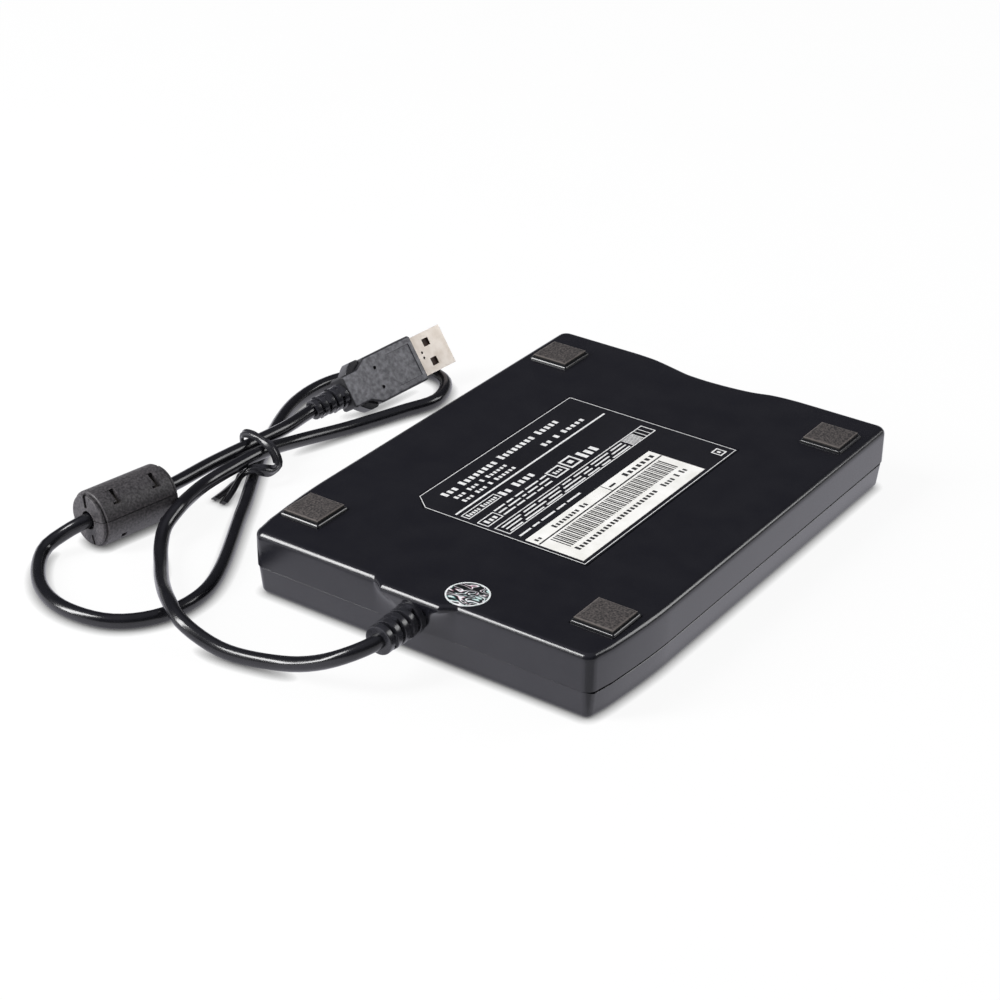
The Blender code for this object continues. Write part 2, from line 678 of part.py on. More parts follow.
def bottom_shell(material):
    """The shell that is up here: its floor, walls, the lead's boss, screw bosses and shallow pockets."""
    rim = SEAM_HEIGHT + GAP
    step = rim + TONGUE_HEIGHT
    rebate = SIDE_WALL - TONGUE - GAP
    rings = [
        case_outline(SIDE_WALL, SHELL_INSIDE),
        case_outline(SIDE_WALL, step),
        case_outline(rebate, step),
        case_outline(rebate, rim),
        case_outline(0, rim, BOSS_DEPTH),
        case_outline(0, CASE_HEIGHT - EDGE_ROUND, BOSS_DEPTH),
        case_outline(0.3 * EDGE_ROUND, CASE_HEIGHT - 0.3 * EDGE_ROUND, BOSS_DEPTH),
        case_outline(EDGE_ROUND, CASE_HEIGHT, BOSS_DEPTH),
    ]
    bosses = []
    pockets = []
    for name, x, y in foot_places():
        low = BOARD_TOP + GAP if name.startswith("front") else CHASSIS_TOP
        bosses.append(rod("z", (x, y), BOSS_RADIUS, (low, SHELL_INSIDE + FLOOR_WALL / 2), 16))
        pockets.append(counterbore(x, y, low))
        foot = FOOT_SIDE + 2 * (FOOT_RIM + GAP)
        pockets.append(block(about(x, foot), about(y, foot), (CASE_HEIGHT - GAP, CASE_HEIGHT + OVERRUN)))
    pocket = (CASE_HEIGHT - STICKER_POCKET, CASE_HEIGHT + OVERRUN)
    stickers = together(
        [
            extruded(label_outline(GAP), "z", pocket),
            rod("z", seal_place(), SEAL_RADIUS + GAP, pocket, 32),
        ]
    )
    wall = (REAR_Y - 2 * SIDE_WALL, REAR_Y + 2 * BOSS_DEPTH)
    neck = rod("y", (RELIEF_X, RELIEF_Z), RELIEF_NECK + GAP, wall, 16)
    feet = pockets[1::2]
    screws = pockets[0::2]
    return add_piece(
        "bottom_shell",
        loft(rings),
        material,
        joins=(together(bosses),),
        cuts=(front_window(), neck, together(feet), together(screws), stickers),
    )


def counterbore(x, y, low):
    """The stepped hole for a case screw: wide for its head, narrow below."""
    head_low = CASE_HEIGHT - CASE_SCREW_SINK - SCREW_HEAD_HEIGHT - GAP
    wide = SCREW_HEAD_RADIUS + GAP
    narrow = SCREW_SHANK_RADIUS + GAP
    profile = (
        (narrow, low - OVERRUN),
        (narrow, head_low),
        (wide, head_low),
        (wide, CASE_HEIGHT + OVERRUN),
    )
    return moved(turned(profile, 12), Matrix.Translation((x, y, 0)))


def top_cover(material):
    """The cover that the drive lies on here, with its seam tongue and the posts inside it."""
    tongue_top = SEAM_HEIGHT + TONGUE_HEIGHT
    tongue_out = SIDE_WALL - TONGUE
    drafted = COVER_STEP + COVER_DRAFT
    rings = [
        case_outline(SIDE_WALL, COVER_WALL),
        case_outline(SIDE_WALL, tongue_top),
        case_outline(tongue_out, tongue_top),
        case_outline(tongue_out, SEAM_HEIGHT),
        case_outline(COVER_STEP, SEAM_HEIGHT),
        case_outline(drafted, EDGE_ROUND),
        case_outline(drafted + 0.3 * EDGE_ROUND, 0.3 * EDGE_ROUND),
        case_outline(drafted + EDGE_ROUND, 0),
    ]
    posts = []
    bores = []
    for name, x, y in foot_places():
        if name.startswith("rear"):
            posts.append(rod("z", (x, y), BOSS_RADIUS, (COVER_WALL / 2, CHASSIS_TOP - GAP), 16))
            bores.append(rod("z", (x, y), SCREW_SHANK_RADIUS + GAP, (SEAM_HEIGHT, CASE_HEIGHT)))
    for x, y in bridge_screws():
        posts.append(rod("z", (x, y), POST_RADIUS, (COVER_WALL / 2, BRIDGE_Z - GAP)))
        bores.append(rod("z", (x, y), SCREW_SHANK_RADIUS + GAP, (2 * COVER_WALL, BRIDGE_Z + OVERRUN), 12))
    return add_piece(
        "top_cover",
        loft(rings),
        material,
        joins=(together(posts),),
        cuts=(front_window(), together(bores)),
    )


def front_bezel(material):
    """The strip that fills the case's front: disk slot, button's hole and light's window."""
    outline = [(-BEZEL_HALF, BEZEL_BACK), (-BEZEL_HALF, FRONT_Y)]
    outline += [(across * SCOOP_HALF, FRONT_Y + deep * SCOOP_DEPTH) for across, deep in SCOOP_SHARES]
    outline += [(BEZEL_HALF, FRONT_Y), (BEZEL_HALF, BEZEL_BACK)]
    through = (FRONT_Y - OVERRUN, BEZEL_BACK + OVERRUN)
    holes = together(
        [
            block((-BAY_HALF, BAY_HALF), through, (BAY_LOW, BAY_TOP)),
            block(
                about(-BUTTON_FROM_MIDDLE, BUTTON_WIDTH + 2 * GAP),
                through,
                about(button_z(), BUTTON_HEIGHT + 2 * GAP),
            ),
            block(about(LIGHT_X, PIPE_WIDTH + 2 * GAP), through, about(LIGHT_Z, PIPE_HEIGHT + 2 * GAP)),
        ]
    )
    return add_piece(
        "front_bezel",
        extruded(outline, "z", (BAY_LOW - BEZEL_RIM, bezel_top())),
        material,
        cuts=(holes,),
    )


def button_z():
    """The height of the eject button's middle, that of the slide's tongue."""
    return (SLIDE_LOW + SLIDE_TOP) / 2


def screw_shape(length):
    """A screw with its head's underside at 0, its shank towards -Z and a cross recess."""
    profile = (
        (SCREW_SHANK_RADIUS, -length),
        (SCREW_SHANK_RADIUS, 0),
        (SCREW_HEAD_RADIUS, 0),
        (SCREW_HEAD_RADIUS, 0.6 * SCREW_HEAD_HEIGHT),
        (0.6 * SCREW_HEAD_RADIUS, SCREW_HEAD_HEIGHT),
    )
    return turned(profile, 12)


def case_screws(material):
    """The four screws under the foot pads."""
    under_head = CASE_HEIGHT - CASE_SCREW_SINK - SCREW_HEAD_HEIGHT
    for name, x, y in foot_places():
        screw = moved(screw_shape(CASE_SCREW_LENGTH), Matrix.Translation((x, y, under_head)))
        add_piece(f"case_screw_{name}", screw, material)


def foot_pad(name, x, y, material):
    """A square pad with a thin wider rim at its base."""
    base = CASE_HEIGHT
    wide = FOOT_SIDE + 2 * FOOT_RIM
    rings = []
    for side, height in (
        (wide, base),
        (wide, base + FOOT_RIM_HEIGHT),
        (FOOT_SIDE, base + FOOT_RIM_HEIGHT),
        (FOOT_SIDE, base + FOOT_HEIGHT),
    ):
        corners = ((-1, -1), (1, -1), (1, 1), (-1, 1))
        rings.append([(x + a * side / 2, y + b * side / 2, height) for a, b in corners])
    return add_piece(f"foot_pad_{name}", loft(rings), material)


def label_outline(margin):
    """The rating label's outline, grown by a margin, with its one corner cut off."""
    half_x = LABEL_WIDTH / 2 + margin
    half_y = LABEL_LENGTH / 2 + margin
    middle = (FRONT_Y + REAR_Y) / 2
    return [
        (-half_x, middle - half_y),
        (half_x, middle - half_y),
        (half_x, middle + half_y - LABEL_CUT),
        (half_x - LABEL_CUT, middle + half_y),
        (-half_x, middle + half_y),
    ]


def barcode_limits():
    """The bar-code sticker's limits in x and y, as shares of the label's size from its +X, -Y corner."""
    middle = (FRONT_Y + REAR_Y) / 2
    x = [LABEL_WIDTH / 2 - LABEL_WIDTH * (0.37 + share) for share in reversed(BARCODE_X_SHARES)]
    y = [middle - LABEL_LENGTH / 2 + LABEL_LENGTH * share for share in BARCODE_Y_SHARES]
    return x, y


def stickers(label_material, barcode_material, seal_material):
    """The rating label, the bar-code sticker in its window and the round seal by the lead."""
    low = CASE_HEIGHT - STICKER
    span = (low, CASE_HEIGHT)
    x, y = barcode_limits()
    through = (low - OVERRUN, CASE_HEIGHT + OVERRUN)
    window = block((x[0] - GAP, x[1] + GAP), (y[0] - GAP, y[1] + GAP), through)
    add_piece("rating_label", extruded(label_outline(0), "z", span), label_material, cuts=(window,))
    add_piece("barcode_label", block(x, y, span), barcode_material)
    add_piece("round_seal", rod("z", seal_place(), SEAL_RADIUS, span, 32), seal_material)


def seal_place():
    """The round seal's middle."""
    return (SEAL_X, REAR_Y - SEAL_FROM_REAR)


def light(pipe_material, light_material):
    """The light pipe in the bezel and the small light behind it, under the motor board."""
    pipe_back = CHASSIS_FRONT + PIPE_WIDTH / 2
    pipe = block(about(LIGHT_X, PIPE_WIDTH), (FRONT_Y, pipe_back), about(LIGHT_Z, PIPE_HEIGHT))
    add_piece("light_pipe", pipe, pipe_material)
    behind = pipe_back + GAP
    lamp = block(
        about(LIGHT_X, LIGHT_SIZE),
        (behind, behind + LIGHT_SIZE),
        (CHASSIS_TOP + GAP, BOARD_LOW - GAP),
    )
    add_piece("activity_light", lamp, light_material)


def chassis(material):
    """The pressed steel frame: a plate with two side walls that guide the slide and the cradle's pins."""
    plate_rear = REAR_Y - CHASSIS_REAR_ROOM
    wall_rear = DISK_END_Y + WALL_BEHIND_DISK
    outline = [
        (-CHASSIS_HALF, CHASSIS_FRONT),
        (CHASSIS_HALF, CHASSIS_FRONT),
        (CHASSIS_HALF, wall_rear),
        (REAR_PLATE_HALF, wall_rear),
        (REAR_PLATE_HALF, plate_rear),
        (-REAR_PLATE_HALF, plate_rear),
        (-REAR_PLATE_HALF, wall_rear),
        (-CHASSIS_HALF, wall_rear),
    ]
    wall_low = SHIELD_LOW + SHIELD_SHEET + GAP
    ear_low = COVER_WALL + GAP
    walls = []
    tabs = []
    for side in (-1, 1):
        x = sorted((side * CHASSIS_INNER, side * CHASSIS_HALF))
        profile = [
            (WALL_FRONT, ear_low),
            (CRADLE_FRONT - GAP, ear_low),
            (CRADLE_FRONT - GAP, wall_low),
            (wall_rear, wall_low),
            (wall_rear, CHASSIS_LOW + CHASSIS_SHEET / 2),
            (WALL_FRONT, CHASSIS_LOW + CHASSIS_SHEET / 2),
        ]
        walls.append(extruded(profile, "x", x))
        anchor = spring_anchor_y()
        tab_x = sorted((side * (CHASSIS_INNER + SHEET / 2), side * (CHASSIS_HALF + 2 * SPRING_TAB)))
        tabs.append(block(tab_x, (anchor, anchor + SHEET), about(PIN_Z + LOAD_TRAVEL, SPRING_TAB)))
    standoffs = [
        rod("z", (x, y), STANDOFF_RADIUS, (CHASSIS_LOW + CHASSIS_SHEET / 2, BOARD_LOW - GAP))
        for x, y in standoff_places()
    ]
    walls.append(
        block(
            (SCREW_X - 2 * SCREW_CREST, SCREW_X + 4 * SCREW_CREST),
            (SCREW_FRONT, SCREW_FRONT + SHEET),
            (SCREW_Z - 2 * SCREW_CREST, CHASSIS_LOW + CHASSIS_SHEET / 2),
        )
    )
    through = (CHASSIS_LOW - OVERRUN, BOARD_LOW + OVERRUN)
    window = block(
        (-RAIL_FROM_MIDDLE - BUSH_HALF - 2 * RUNNING_GAP, SCREW_X + 3 * SCREW_CREST),
        (SPINDLE_Y, REAR_CLIP_Y + CLIP_LENGTH + RUNNING_GAP),
        through,
    )
    motor_hole = block(
        about(SCREW_X, 2 * (MOTOR_RADIUS + RUNNING_GAP)),
        (MOTOR_FRONT - RUNNING_GAP, MOTOR_FRONT + MOTOR_LENGTH + RUNNING_GAP),
        through,
    )
    rotor_hole = rod("z", (0, SPINDLE_Y), ROTOR_RADIUS + 2 * RUNNING_GAP, through, 32)
    button_notch = block(
        about(-BUTTON_FROM_MIDDLE, BUTTON_WIDTH + 4 * GAP),
        (FRONT_Y, button_tail_y() + RUNNING_GAP),
        (CHASSIS_LOW - OVERRUN, CHASSIS_TOP + OVERRUN),
    )
    slots = [button_notch]
    hole = SCREW_SHANK_RADIUS + GAP
    slots += [rod("z", place, hole, through) for place in standoff_places() + clip_screws()]
    slots += [rod("z", place, PLUNGER_RADIUS + GAP, through) for place in plunger_places()]
    wall_cuts = []
    for side in (-1, 1):
        x = sorted((side * (CHASSIS_INNER - RUNNING_GAP / 2), side * (CHASSIS_HALF + RUNNING_GAP / 2)))
        for y in pin_places():
            half = PIN_RADIUS + GAP
            wall_cuts.append(block(x, (y - half, y + half), (PIN_Z - half, PIN_Z + LOAD_TRAVEL + half)))
        stub = STUB_RADIUS + GAP
        wall_cuts.append(block(x, about(DOOR_AXIS_Y, 2 * stub), (0, DOOR_AXIS_Z + stub)))
        tab_y = spring_tab_y()
        wall_cuts.append(
            block(
                x,
                (tab_y - EJECT_TRAVEL - SHEET - GAP, tab_y + GAP),
                about(PIN_Z + LOAD_TRAVEL, SPRING_TAB + 2 * GAP),
            )
        )
    tab = (SCREW_FRONT - OVERRUN, SCREW_FRONT + OVERRUN)
    journal = rod("y", (SCREW_X, SCREW_Z), SCREW_JOURNAL + GAP, tab)
    return add_piece(
        "chassis",
        extruded(outline, "z", (CHASSIS_LOW, CHASSIS_TOP)),
        material,
        joins=(together(walls), together(tabs), together(standoffs)),
        cuts=(window, motor_hole, rotor_hole, together(slots), together(wall_cuts), journal),
    )


def standoff_places():
    """(x, y) where the chassis stands off the motor board: two for the case, two for the board's screws."""
    places = [(x, y) for name, x, y in foot_places() if name.startswith("front")]
    return places + board_screws()


def board_screws():
    """(x, y) of the motor board's own screws, behind the rotor's widest place."""
    x = BOARD_HALF - 2 * BOSS_RADIUS
    y = SPINDLE_Y + ROTOR_RADIUS - BOSS_RADIUS
    return [(x, y), (-x, y)]


def clip_screws():
    """(x, y) of the screws that hold the guide rail's clips."""
    x = -RAIL_FROM_MIDDLE - BUSH_HALF - CLIP_FLANGE_WIDTH / 2 - SCREW_SHANK_RADIUS / 2
    return [(x, y + CLIP_LENGTH / 2) for y in (FRONT_CLIP_Y, REAR_CLIP_Y)]


def bridge_screws():
    """(x, y) of the bridge board's screws."""
    y = REAR_Y - SIDE_WALL - BRIDGE_TO_WALL - BRIDGE_DEPTH / 2
    margin = 2 * SCREW_HEAD_RADIUS
    return [(BRIDGE_LEFT + margin, y), (BRIDGE_RIGHT - margin, y)]


def plunger_places():
    """(x, y) of the write-protect, density and disk-present plungers."""
    edge = DISK_WIDTH / 2 - PLUNGER_EDGE_INSET
    return [(-edge, PLUNGER_Y), (edge, PLUNGER_Y), (DISK_WIDTH / 2 - PRESENT_INSET, PLUNGER_Y)]


def pin_places():
    """y of the cradle's front and rear pins."""
    return (CRADLE_FRONT + PIN_FROM_FRONT, CRADLE_REAR - PIN_FROM_REAR)


def button_tail_y():
    """y where the eject button ends inside the drive."""
    return BEZEL_BACK + BUTTON_TAIL


def spring_tab_y():
    """y of the rear face of the slide's spring tab."""
    return CRADLE_FRONT + SPRING_TAB_FROM_FRONT


def spring_anchor_y():
    """y of the front face of the chassis's spring anchor."""
    return spring_tab_y() + SPRING_LENGTH + 2 * GAP


def shield(material):
    """The thin plate between the top cover and the cradle."""
    sheet = block(
        (-CHASSIS_HALF, CHASSIS_HALF),
        (CRADLE_FRONT, CARRIAGE_FRONT - HEAD_TRAVEL - 3 * OVERRUN - RUNNING_GAP),
        (SHIELD_LOW, SHIELD_LOW + SHIELD_SHEET),
    )
    return add_piece("shield_plate", sheet, material)


def slot_door(material):
    """The flap behind the disk slot, on two stubs in the chassis's ears."""
    half = DOOR_THICKNESS / 2
    profile = [(DOOR_AXIS_Y + half, DOOR_TOP), (DOOR_AXIS_Y - half, DOOR_TOP)]
    profile += arc((DOOR_AXIS_Y, DOOR_AXIS_Z), half, math.pi, 2 * math.pi, CORNER_STEPS)
    stubs = rod("x", (DOOR_AXIS_Y, DOOR_AXIS_Z), STUB_RADIUS, (-CHASSIS_HALF, CHASSIS_HALF), 8)
    axis_point = (0, DOOR_AXIS_Y, DOOR_AXIS_Z)
    door = extruded(profile, "x", (-DOOR_HALF, DOOR_HALF))
    add_piece("slot_door", door, material, joins=(stubs,), axis_point=axis_point)


def eject_slide(material, button_material, spring_material):
    """The slide that lifts the cradle by its slanted slots, its button and the springs that push it."""
    rear = pin_places()[1] + EJECT_TRAVEL + PIN_RADIUS + SLIDE_REAR_MARGIN
    tail = button_tail_y()
    middle = -BUTTON_FROM_MIDDLE
    outline = [
        (-SLIDE_HALF, STRIP_FRONT),
        (middle - TONGUE_WIDTH / 2, STRIP_FRONT),
        (middle - TONGUE_WIDTH / 2, tail - TONGUE_GRIP),
        (middle + TONGUE_WIDTH / 2, tail - TONGUE_GRIP),
        (middle + TONGUE_WIDTH / 2, STRIP_FRONT),
        (SLIDE_HALF, STRIP_FRONT),
        (SLIDE_HALF, STRIP_FRONT + STRIP_LENGTH),
        (-SLIDE_HALF, STRIP_FRONT + STRIP_LENGTH),
    ]
    walls = []
    tabs = []
    tab_y = spring_tab_y()
    tab_z = PIN_Z + LOAD_TRAVEL
    for side in (-1, 1):
        x = sorted((side * SLIDE_INNER, side * SLIDE_HALF))
        walls.append(block(x, (STRIP_FRONT, rear), (SLIDE_WALL_LOW, SLIDE_TOP)))
        x = sorted((side * (SLIDE_INNER + SHEET / 2), side * (CHASSIS_HALF + 2 * SPRING_TAB)))
        tabs.append(block(x, (tab_y - SHEET, tab_y), about(tab_z, SPRING_TAB)))
        spring_x = side * (CHASSIS_HALF + GAP + SPRING_RADIUS + SPRING_WIRE)
        coil = helix(
            (spring_x, tab_y + GAP + SPRING_WIRE, tab_z),
            (spring_x, tab_y + SPRING_LENGTH - SPRING_WIRE, tab_z),
            SPRING_RADIUS,
            SPRING_TURNS,
            SPRING_STEPS,
        )
        name = "left" if side > 0 else "right"
        add_wire(f"eject_spring_{name}", coil, SPRING_WIRE, spring_material)
    slots = []
    for y in pin_places():
        slots.append(extruded(slanted_slot(y), "x", (-CASE_WIDTH / 2, CASE_WIDTH / 2)))
    add_piece(
        "eject_slide",
        extruded(outline, "z", (SLIDE_LOW, SLIDE_TOP)),
        material,
        joins=(together(walls), together(tabs)),
        cuts=(together(slots),),
    )
    z = button_z()
    pocket = block(
        about(middle, TONGUE_WIDTH + 2 * GAP),
        (tail - TONGUE_GRIP - GAP, tail + OVERRUN),
        (SLIDE_LOW - GAP, SLIDE_TOP + GAP),
    )
    x = about(middle, BUTTON_WIDTH)
    height = about(z, BUTTON_HEIGHT)
    front = FRONT_Y - BUTTON_PROUD
    bevel = BUTTON_BEVEL
    rings = [
        rectangle_xz((x[0] + bevel, x[1] - bevel), (height[0] + bevel, height[1] - bevel), front),
        rectangle_xz(x, height, front + bevel),
        rectangle_xz(x, height, tail),
    ]
    add_piece("eject_button", loft(rings), button_material, cuts=(pocket,))


def rectangle_xz(x, z, y):
    """The four corners of an upright rectangle at y."""
    return [(x[0], y, z[0]), (x[1], y, z[0]), (x[1], y, z[1]), (x[0], y, z[1])]


def slanted_slot(pin_y):
    """A slot's outline in (y, z), from round the pin at rest to EJECT_TRAVEL behind it and up."""
    radius = PIN_RADIUS + GAP
    lean = math.atan2(LOAD_TRAVEL, EJECT_TRAVEL)
    low = arc((pin_y, PIN_Z), radius, lean + math.pi / 2, lean + 3 * math.pi / 2, CORNER_STEPS)
    end = (pin_y + EJECT_TRAVEL, PIN_Z + LOAD_TRAVEL)
    high = arc(end, radius, lean - math.pi / 2, lean + math.pi / 2, CORNER_STEPS)
    return low + high


def cradle(material):
    """The bay that carries the disk: a folded plate with lips, stops, guide pins and the lever's stud."""
    lip_inner = CRADLE_HALF - SHEET - LIP_WIDTH
    profile = [
        (-CRADLE_HALF, CRADLE_LOW),
        (CRADLE_HALF, CRADLE_LOW),
        (CRADLE_HALF, LIP_TOP),
        (lip_inner, LIP_TOP),
        (lip_inner, BAY_TOP),
        (BAY_HALF, BAY_TOP),
        (BAY_HALF, BAY_LOW),
        (-BAY_HALF, BAY_LOW),
        (-BAY_HALF, BAY_TOP),
        (-lip_inner, BAY_TOP),
        (-lip_inner, LIP_TOP),
        (-CRADLE_HALF, LIP_TOP),
    ]
    stops = []
    pins = []
    setbacks = []
    for side in (-1, 1):
        x = sorted((side * STOP_INNER, side * (STOP_INNER + STOP_WIDTH)))
        stop_z = (BAY_LOW - SHEET / 2, BAY_LOW + STOP_HEIGHT)
        stops.append(block(x, (CRADLE_REAR - SHEET, CRADLE_REAR), stop_z))
        for y in pin_places():
            x = sorted((side * (BAY_HALF + SHEET / 2), side * CHASSIS_HALF))
            pins.append(rod("x", (y, PIN_Z), PIN_RADIUS, x, 10))
        x = sorted((side * (lip_inner - OVERRUN), side * (BAY_HALF - SHEET / 2)))
        reach = (CRADLE_FRONT - OVERRUN, CRADLE_FRONT + LIP_SETBACK)
        setbacks.append(block(x, reach, (BAY_TOP - OVERRUN, LIP_TOP + OVERRUN)))
    pivot = lever_pivot()
    stud = moved(
        turned(
            (
                (LEVER_PIN_RADIUS, COVER_WALL + RUNNING_GAP),
                (LEVER_PIN_RADIUS, BAY_LOW - SHEET / 2),
            ),
            12,
        ),
        Matrix.Translation((pivot[0], pivot[1], 0)),
    )
    notch = block(
        (-ARM_NOTCH_HALF, ARM_NOTCH_HALF),
        (CARRIAGE_FRONT - HEAD_TRAVEL - 2 * OVERRUN, CRADLE_REAR + OVERRUN),
        (CRADLE_LOW - OVERRUN, BAY_LOW + OVERRUN),
    )
    reach = FINGER_RADIUS + RUNNING_GAP
    spread = reach / LEVER_REACH
    start = LEVER_REST - spread
    end = LEVER_REST + LEVER_SWING + 3 * spread
    outer = arc(pivot, LEVER_REACH + reach, start, end, LEVER_ARC_STEPS)
    inner = arc(pivot, LEVER_REACH - reach, end, start, LEVER_ARC_STEPS)
    finger_slot = extruded(outer + inner, "z", (CRADLE_LOW - OVERRUN, BAY_LOW + OVERRUN))
    return add_piece(
        "disk_cradle",
        extruded(profile, "y", (CRADLE_FRONT, CRADLE_REAR)),
        material,
        joins=(together(stops), together(pins), stud),
        cuts=(notch, finger_slot, together(setbacks)),
    )


def lever_pivot():
    """(x, y) of the shutter lever's pivot."""
    return (LEVER_PIVOT_X, CRADLE_REAR - LEVER_PIVOT_BACK)


def shutter_lever(material):
    """The lever that slides a disk's shutter open, with its finger standing in the bay."""
    pivot = lever_pivot()
    lean = Matrix.Translation((*pivot, 0)) @ Matrix.Rotation(LEVER_REST, 4, "Z")
    half = LEVER_WIDTH / 2
    outline = arc((0, 0), half, math.pi / 2, 3 * math.pi / 2, CORNER_STEPS)
    outline += arc((LEVER_REACH, 0), half, -math.pi / 2, math.pi / 2, CORNER_STEPS)
    low = COVER_WALL + RUNNING_GAP
    plate = moved(extruded(outline, "z", (low, low + LEVER_SHEET)), lean)
    finger = moved(
        rod("z", (LEVER_REACH, 0), FINGER_RADIUS, (low + LEVER_SHEET / 2, BAY_LOW + BAY_HEIGHT * 0.6)), lean
    )
    bore = rod("z", pivot, LEVER_PIN_RADIUS + GAP, (low - OVERRUN, low + OVERRUN))
    axis_point = (pivot[0], pivot[1], low)
    piece = add_piece("shutter_lever", plate, material, axis_point=axis_point)
    combine(piece, "UNION", finger)
    combine(piece, "DIFFERENCE", bore)
    return piece


def spindle(steel, plate_material, bearing_material):
    """What turns the disk: rotor with its magnet ring, hub plate with its drive pin, shaft and bearing."""
    place = Matrix.Translation((0, SPINDLE_Y, 0))
    axis_point = (0, SPINDLE_Y, 0)
    collar = SHAFT_RADIUS + GAP
    skin = ROTOR_LOW + ROTOR_SKIN
    rotor_top = BOARD_LOW - BOARD_CLEAR
    rotor = (
        (collar, ROTOR_LOW),
        (ROTOR_RADIUS, ROTOR_LOW),
        (ROTOR_RADIUS, rotor_top),
        (ROTOR_RADIUS - ROTOR_WALL, rotor_top),
        (ROTOR_RADIUS - ROTOR_WALL, skin),
        (MAGNET_OUTER, skin),
        (MAGNET_OUTER, skin + MAGNET_THICKNESS),
        (MAGNET_INNER, skin + MAGNET_THICKNESS),
        (MAGNET_INNER, skin),
        (collar, skin),
    )
    add_piece("spindle_rotor", moved(turned(rotor, 40, True), place), steel, axis_point=axis_point)
    hub = (
        (collar, HUB_LOW),
        (HUB_RADIUS, HUB_LOW),
        (HUB_RADIUS, HUB_LOW + HUB_SHEET),
        (collar, HUB_LOW + HUB_SHEET),
    )
    pin_span = (HUB_LOW - SHAFT_NOSE, HUB_LOW + HUB_SHEET / 2)
    pin = rod("z", (DRIVE_PIN_OFFSET, SPINDLE_Y), DRIVE_PIN_RADIUS, pin_span, 10)
    plate = moved(turned(hub, 32, True), place)
    piece = add_piece("hub_plate", plate, plate_material, axis_point=axis_point)
    combine(piece, "UNION", pin)
    bearing_top = SHELL_INSIDE - BOARD_CLEAR
    shaft = (
        (SHAFT_RADIUS / 2, HUB_LOW - SHAFT_NOSE),
        (SHAFT_RADIUS, HUB_LOW - SHAFT_NOSE / 2),
        (SHAFT_RADIUS, bearing_top - GAP),
    )
    add_piece("spindle_shaft", moved(turned(shaft, 14), place), steel, axis_point=axis_point)
    flange = 1.5 * BEARING_RADIUS
    bearing = (
        (collar, skin + RUNNING_GAP),
        (BEARING_RADIUS, skin + RUNNING_GAP),
        (BEARING_RADIUS, BOARD_TOP + GAP),
        (flange, BOARD_TOP + GAP),
        (flange, bearing_top),
        (collar, bearing_top),
    )
    add_piece("spindle_bearing", moved(turned(bearing, 20, True), place), bearing_material)


def stator(material):
    """The flat ring under the motor board with the coils that turn the rotor."""
    top = BOARD_LOW - GAP
    ring = (
        (COIL_CIRCLE - COIL_RADIUS, top - STATOR_SHEET),
        (COIL_CIRCLE + COIL_RADIUS, top - STATOR_SHEET),
        (COIL_CIRCLE + COIL_RADIUS, top),
        (COIL_CIRCLE - COIL_RADIUS, top),
    )
    coils = []
    for step in range(COIL_COUNT):
        turn = 2 * math.pi * step / COIL_COUNT
        profile = (
            (COIL_BORE, top - COIL_HEIGHT),
            (COIL_RADIUS, top - COIL_HEIGHT),
            (COIL_RADIUS, top - STATOR_SHEET / 2),
            (COIL_BORE, top - STATOR_SHEET / 2),
        )
        middle = (COIL_CIRCLE * math.cos(turn), SPINDLE_Y + COIL_CIRCLE * math.sin(turn), 0)
        coils.append(moved(turned(profile, 12, True), Matrix.Translation(middle)))
    plate = moved(turned(ring, 32, True), Matrix.Translation((0, SPINDLE_Y, 0)))
    return add_piece("stator", plate, material, joins=(together(coils),))


def motor_board(material):
    """The circuit board over the mechanism, bored for the screws, the posts and the spindle's bearing."""
    rear = SPINDLE_Y + ROTOR_RADIUS + BOARD_REAR_OVER_ROTOR
    half = BOARD_HALF + STANDOFF_RADIUS
    board = block((-half, half), (CHASSIS_FRONT, rear), (BOARD_LOW, BOARD_TOP))
    through = (BOARD_LOW - OVERRUN, BOARD_TOP + OVERRUN)
    holes = [rod("z", place, SCREW_SHANK_RADIUS + GAP, through) for place in standoff_places()]
    holes.append(rod("z", (0, SPINDLE_Y), BEARING_RADIUS + GAP, through, 20))
    return add_piece("motor_board", board, material, cuts=(together(holes),))


def sensor_switches(material, plunger_material):
    """A single switch and a double one, and the plungers that a loaded disk presses."""
    bores = []
    span = (CHASSIS_TOP + GAP, BOARD_LOW - GAP)
    names = ("write_protect_plunger", "density_plunger", "disk_plunger")
    places = plunger_places()
    for name, (x, y) in zip(names, places):
        bores.append(rod("z", (x, y), PLUNGER_RADIUS + GAP, (span[0] - OVERRUN, span[1] + OVERRUN)))
        tip = (
            (PLUNGER_RADIUS / 2, PLUNGER_TIP),
            (PLUNGER_RADIUS, PLUNGER_TIP + PLUNGER_RADIUS / 2),
            (PLUNGER_RADIUS, span[0] + GAP),
        )
        plunger = moved(turned(tip, 12), Matrix.Translation((x, y, 0)))
        add_piece(name, plunger, plunger_material, axis_point=(x, y, PLUNGER_TIP))
    half = SWITCH_SIZE / 2
    y = about(PLUNGER_Y, SWITCH_SIZE)
    single = block(about(places[0][0], SWITCH_SIZE), y, span)
    double = block((places[2][0] - half, places[1][0] + half), y, span)
    add_piece("write_protect_switch", single, material, cuts=(bores[0],))
    add_piece("disk_switch_pair", double, material, cuts=(together(bores[1:]),))


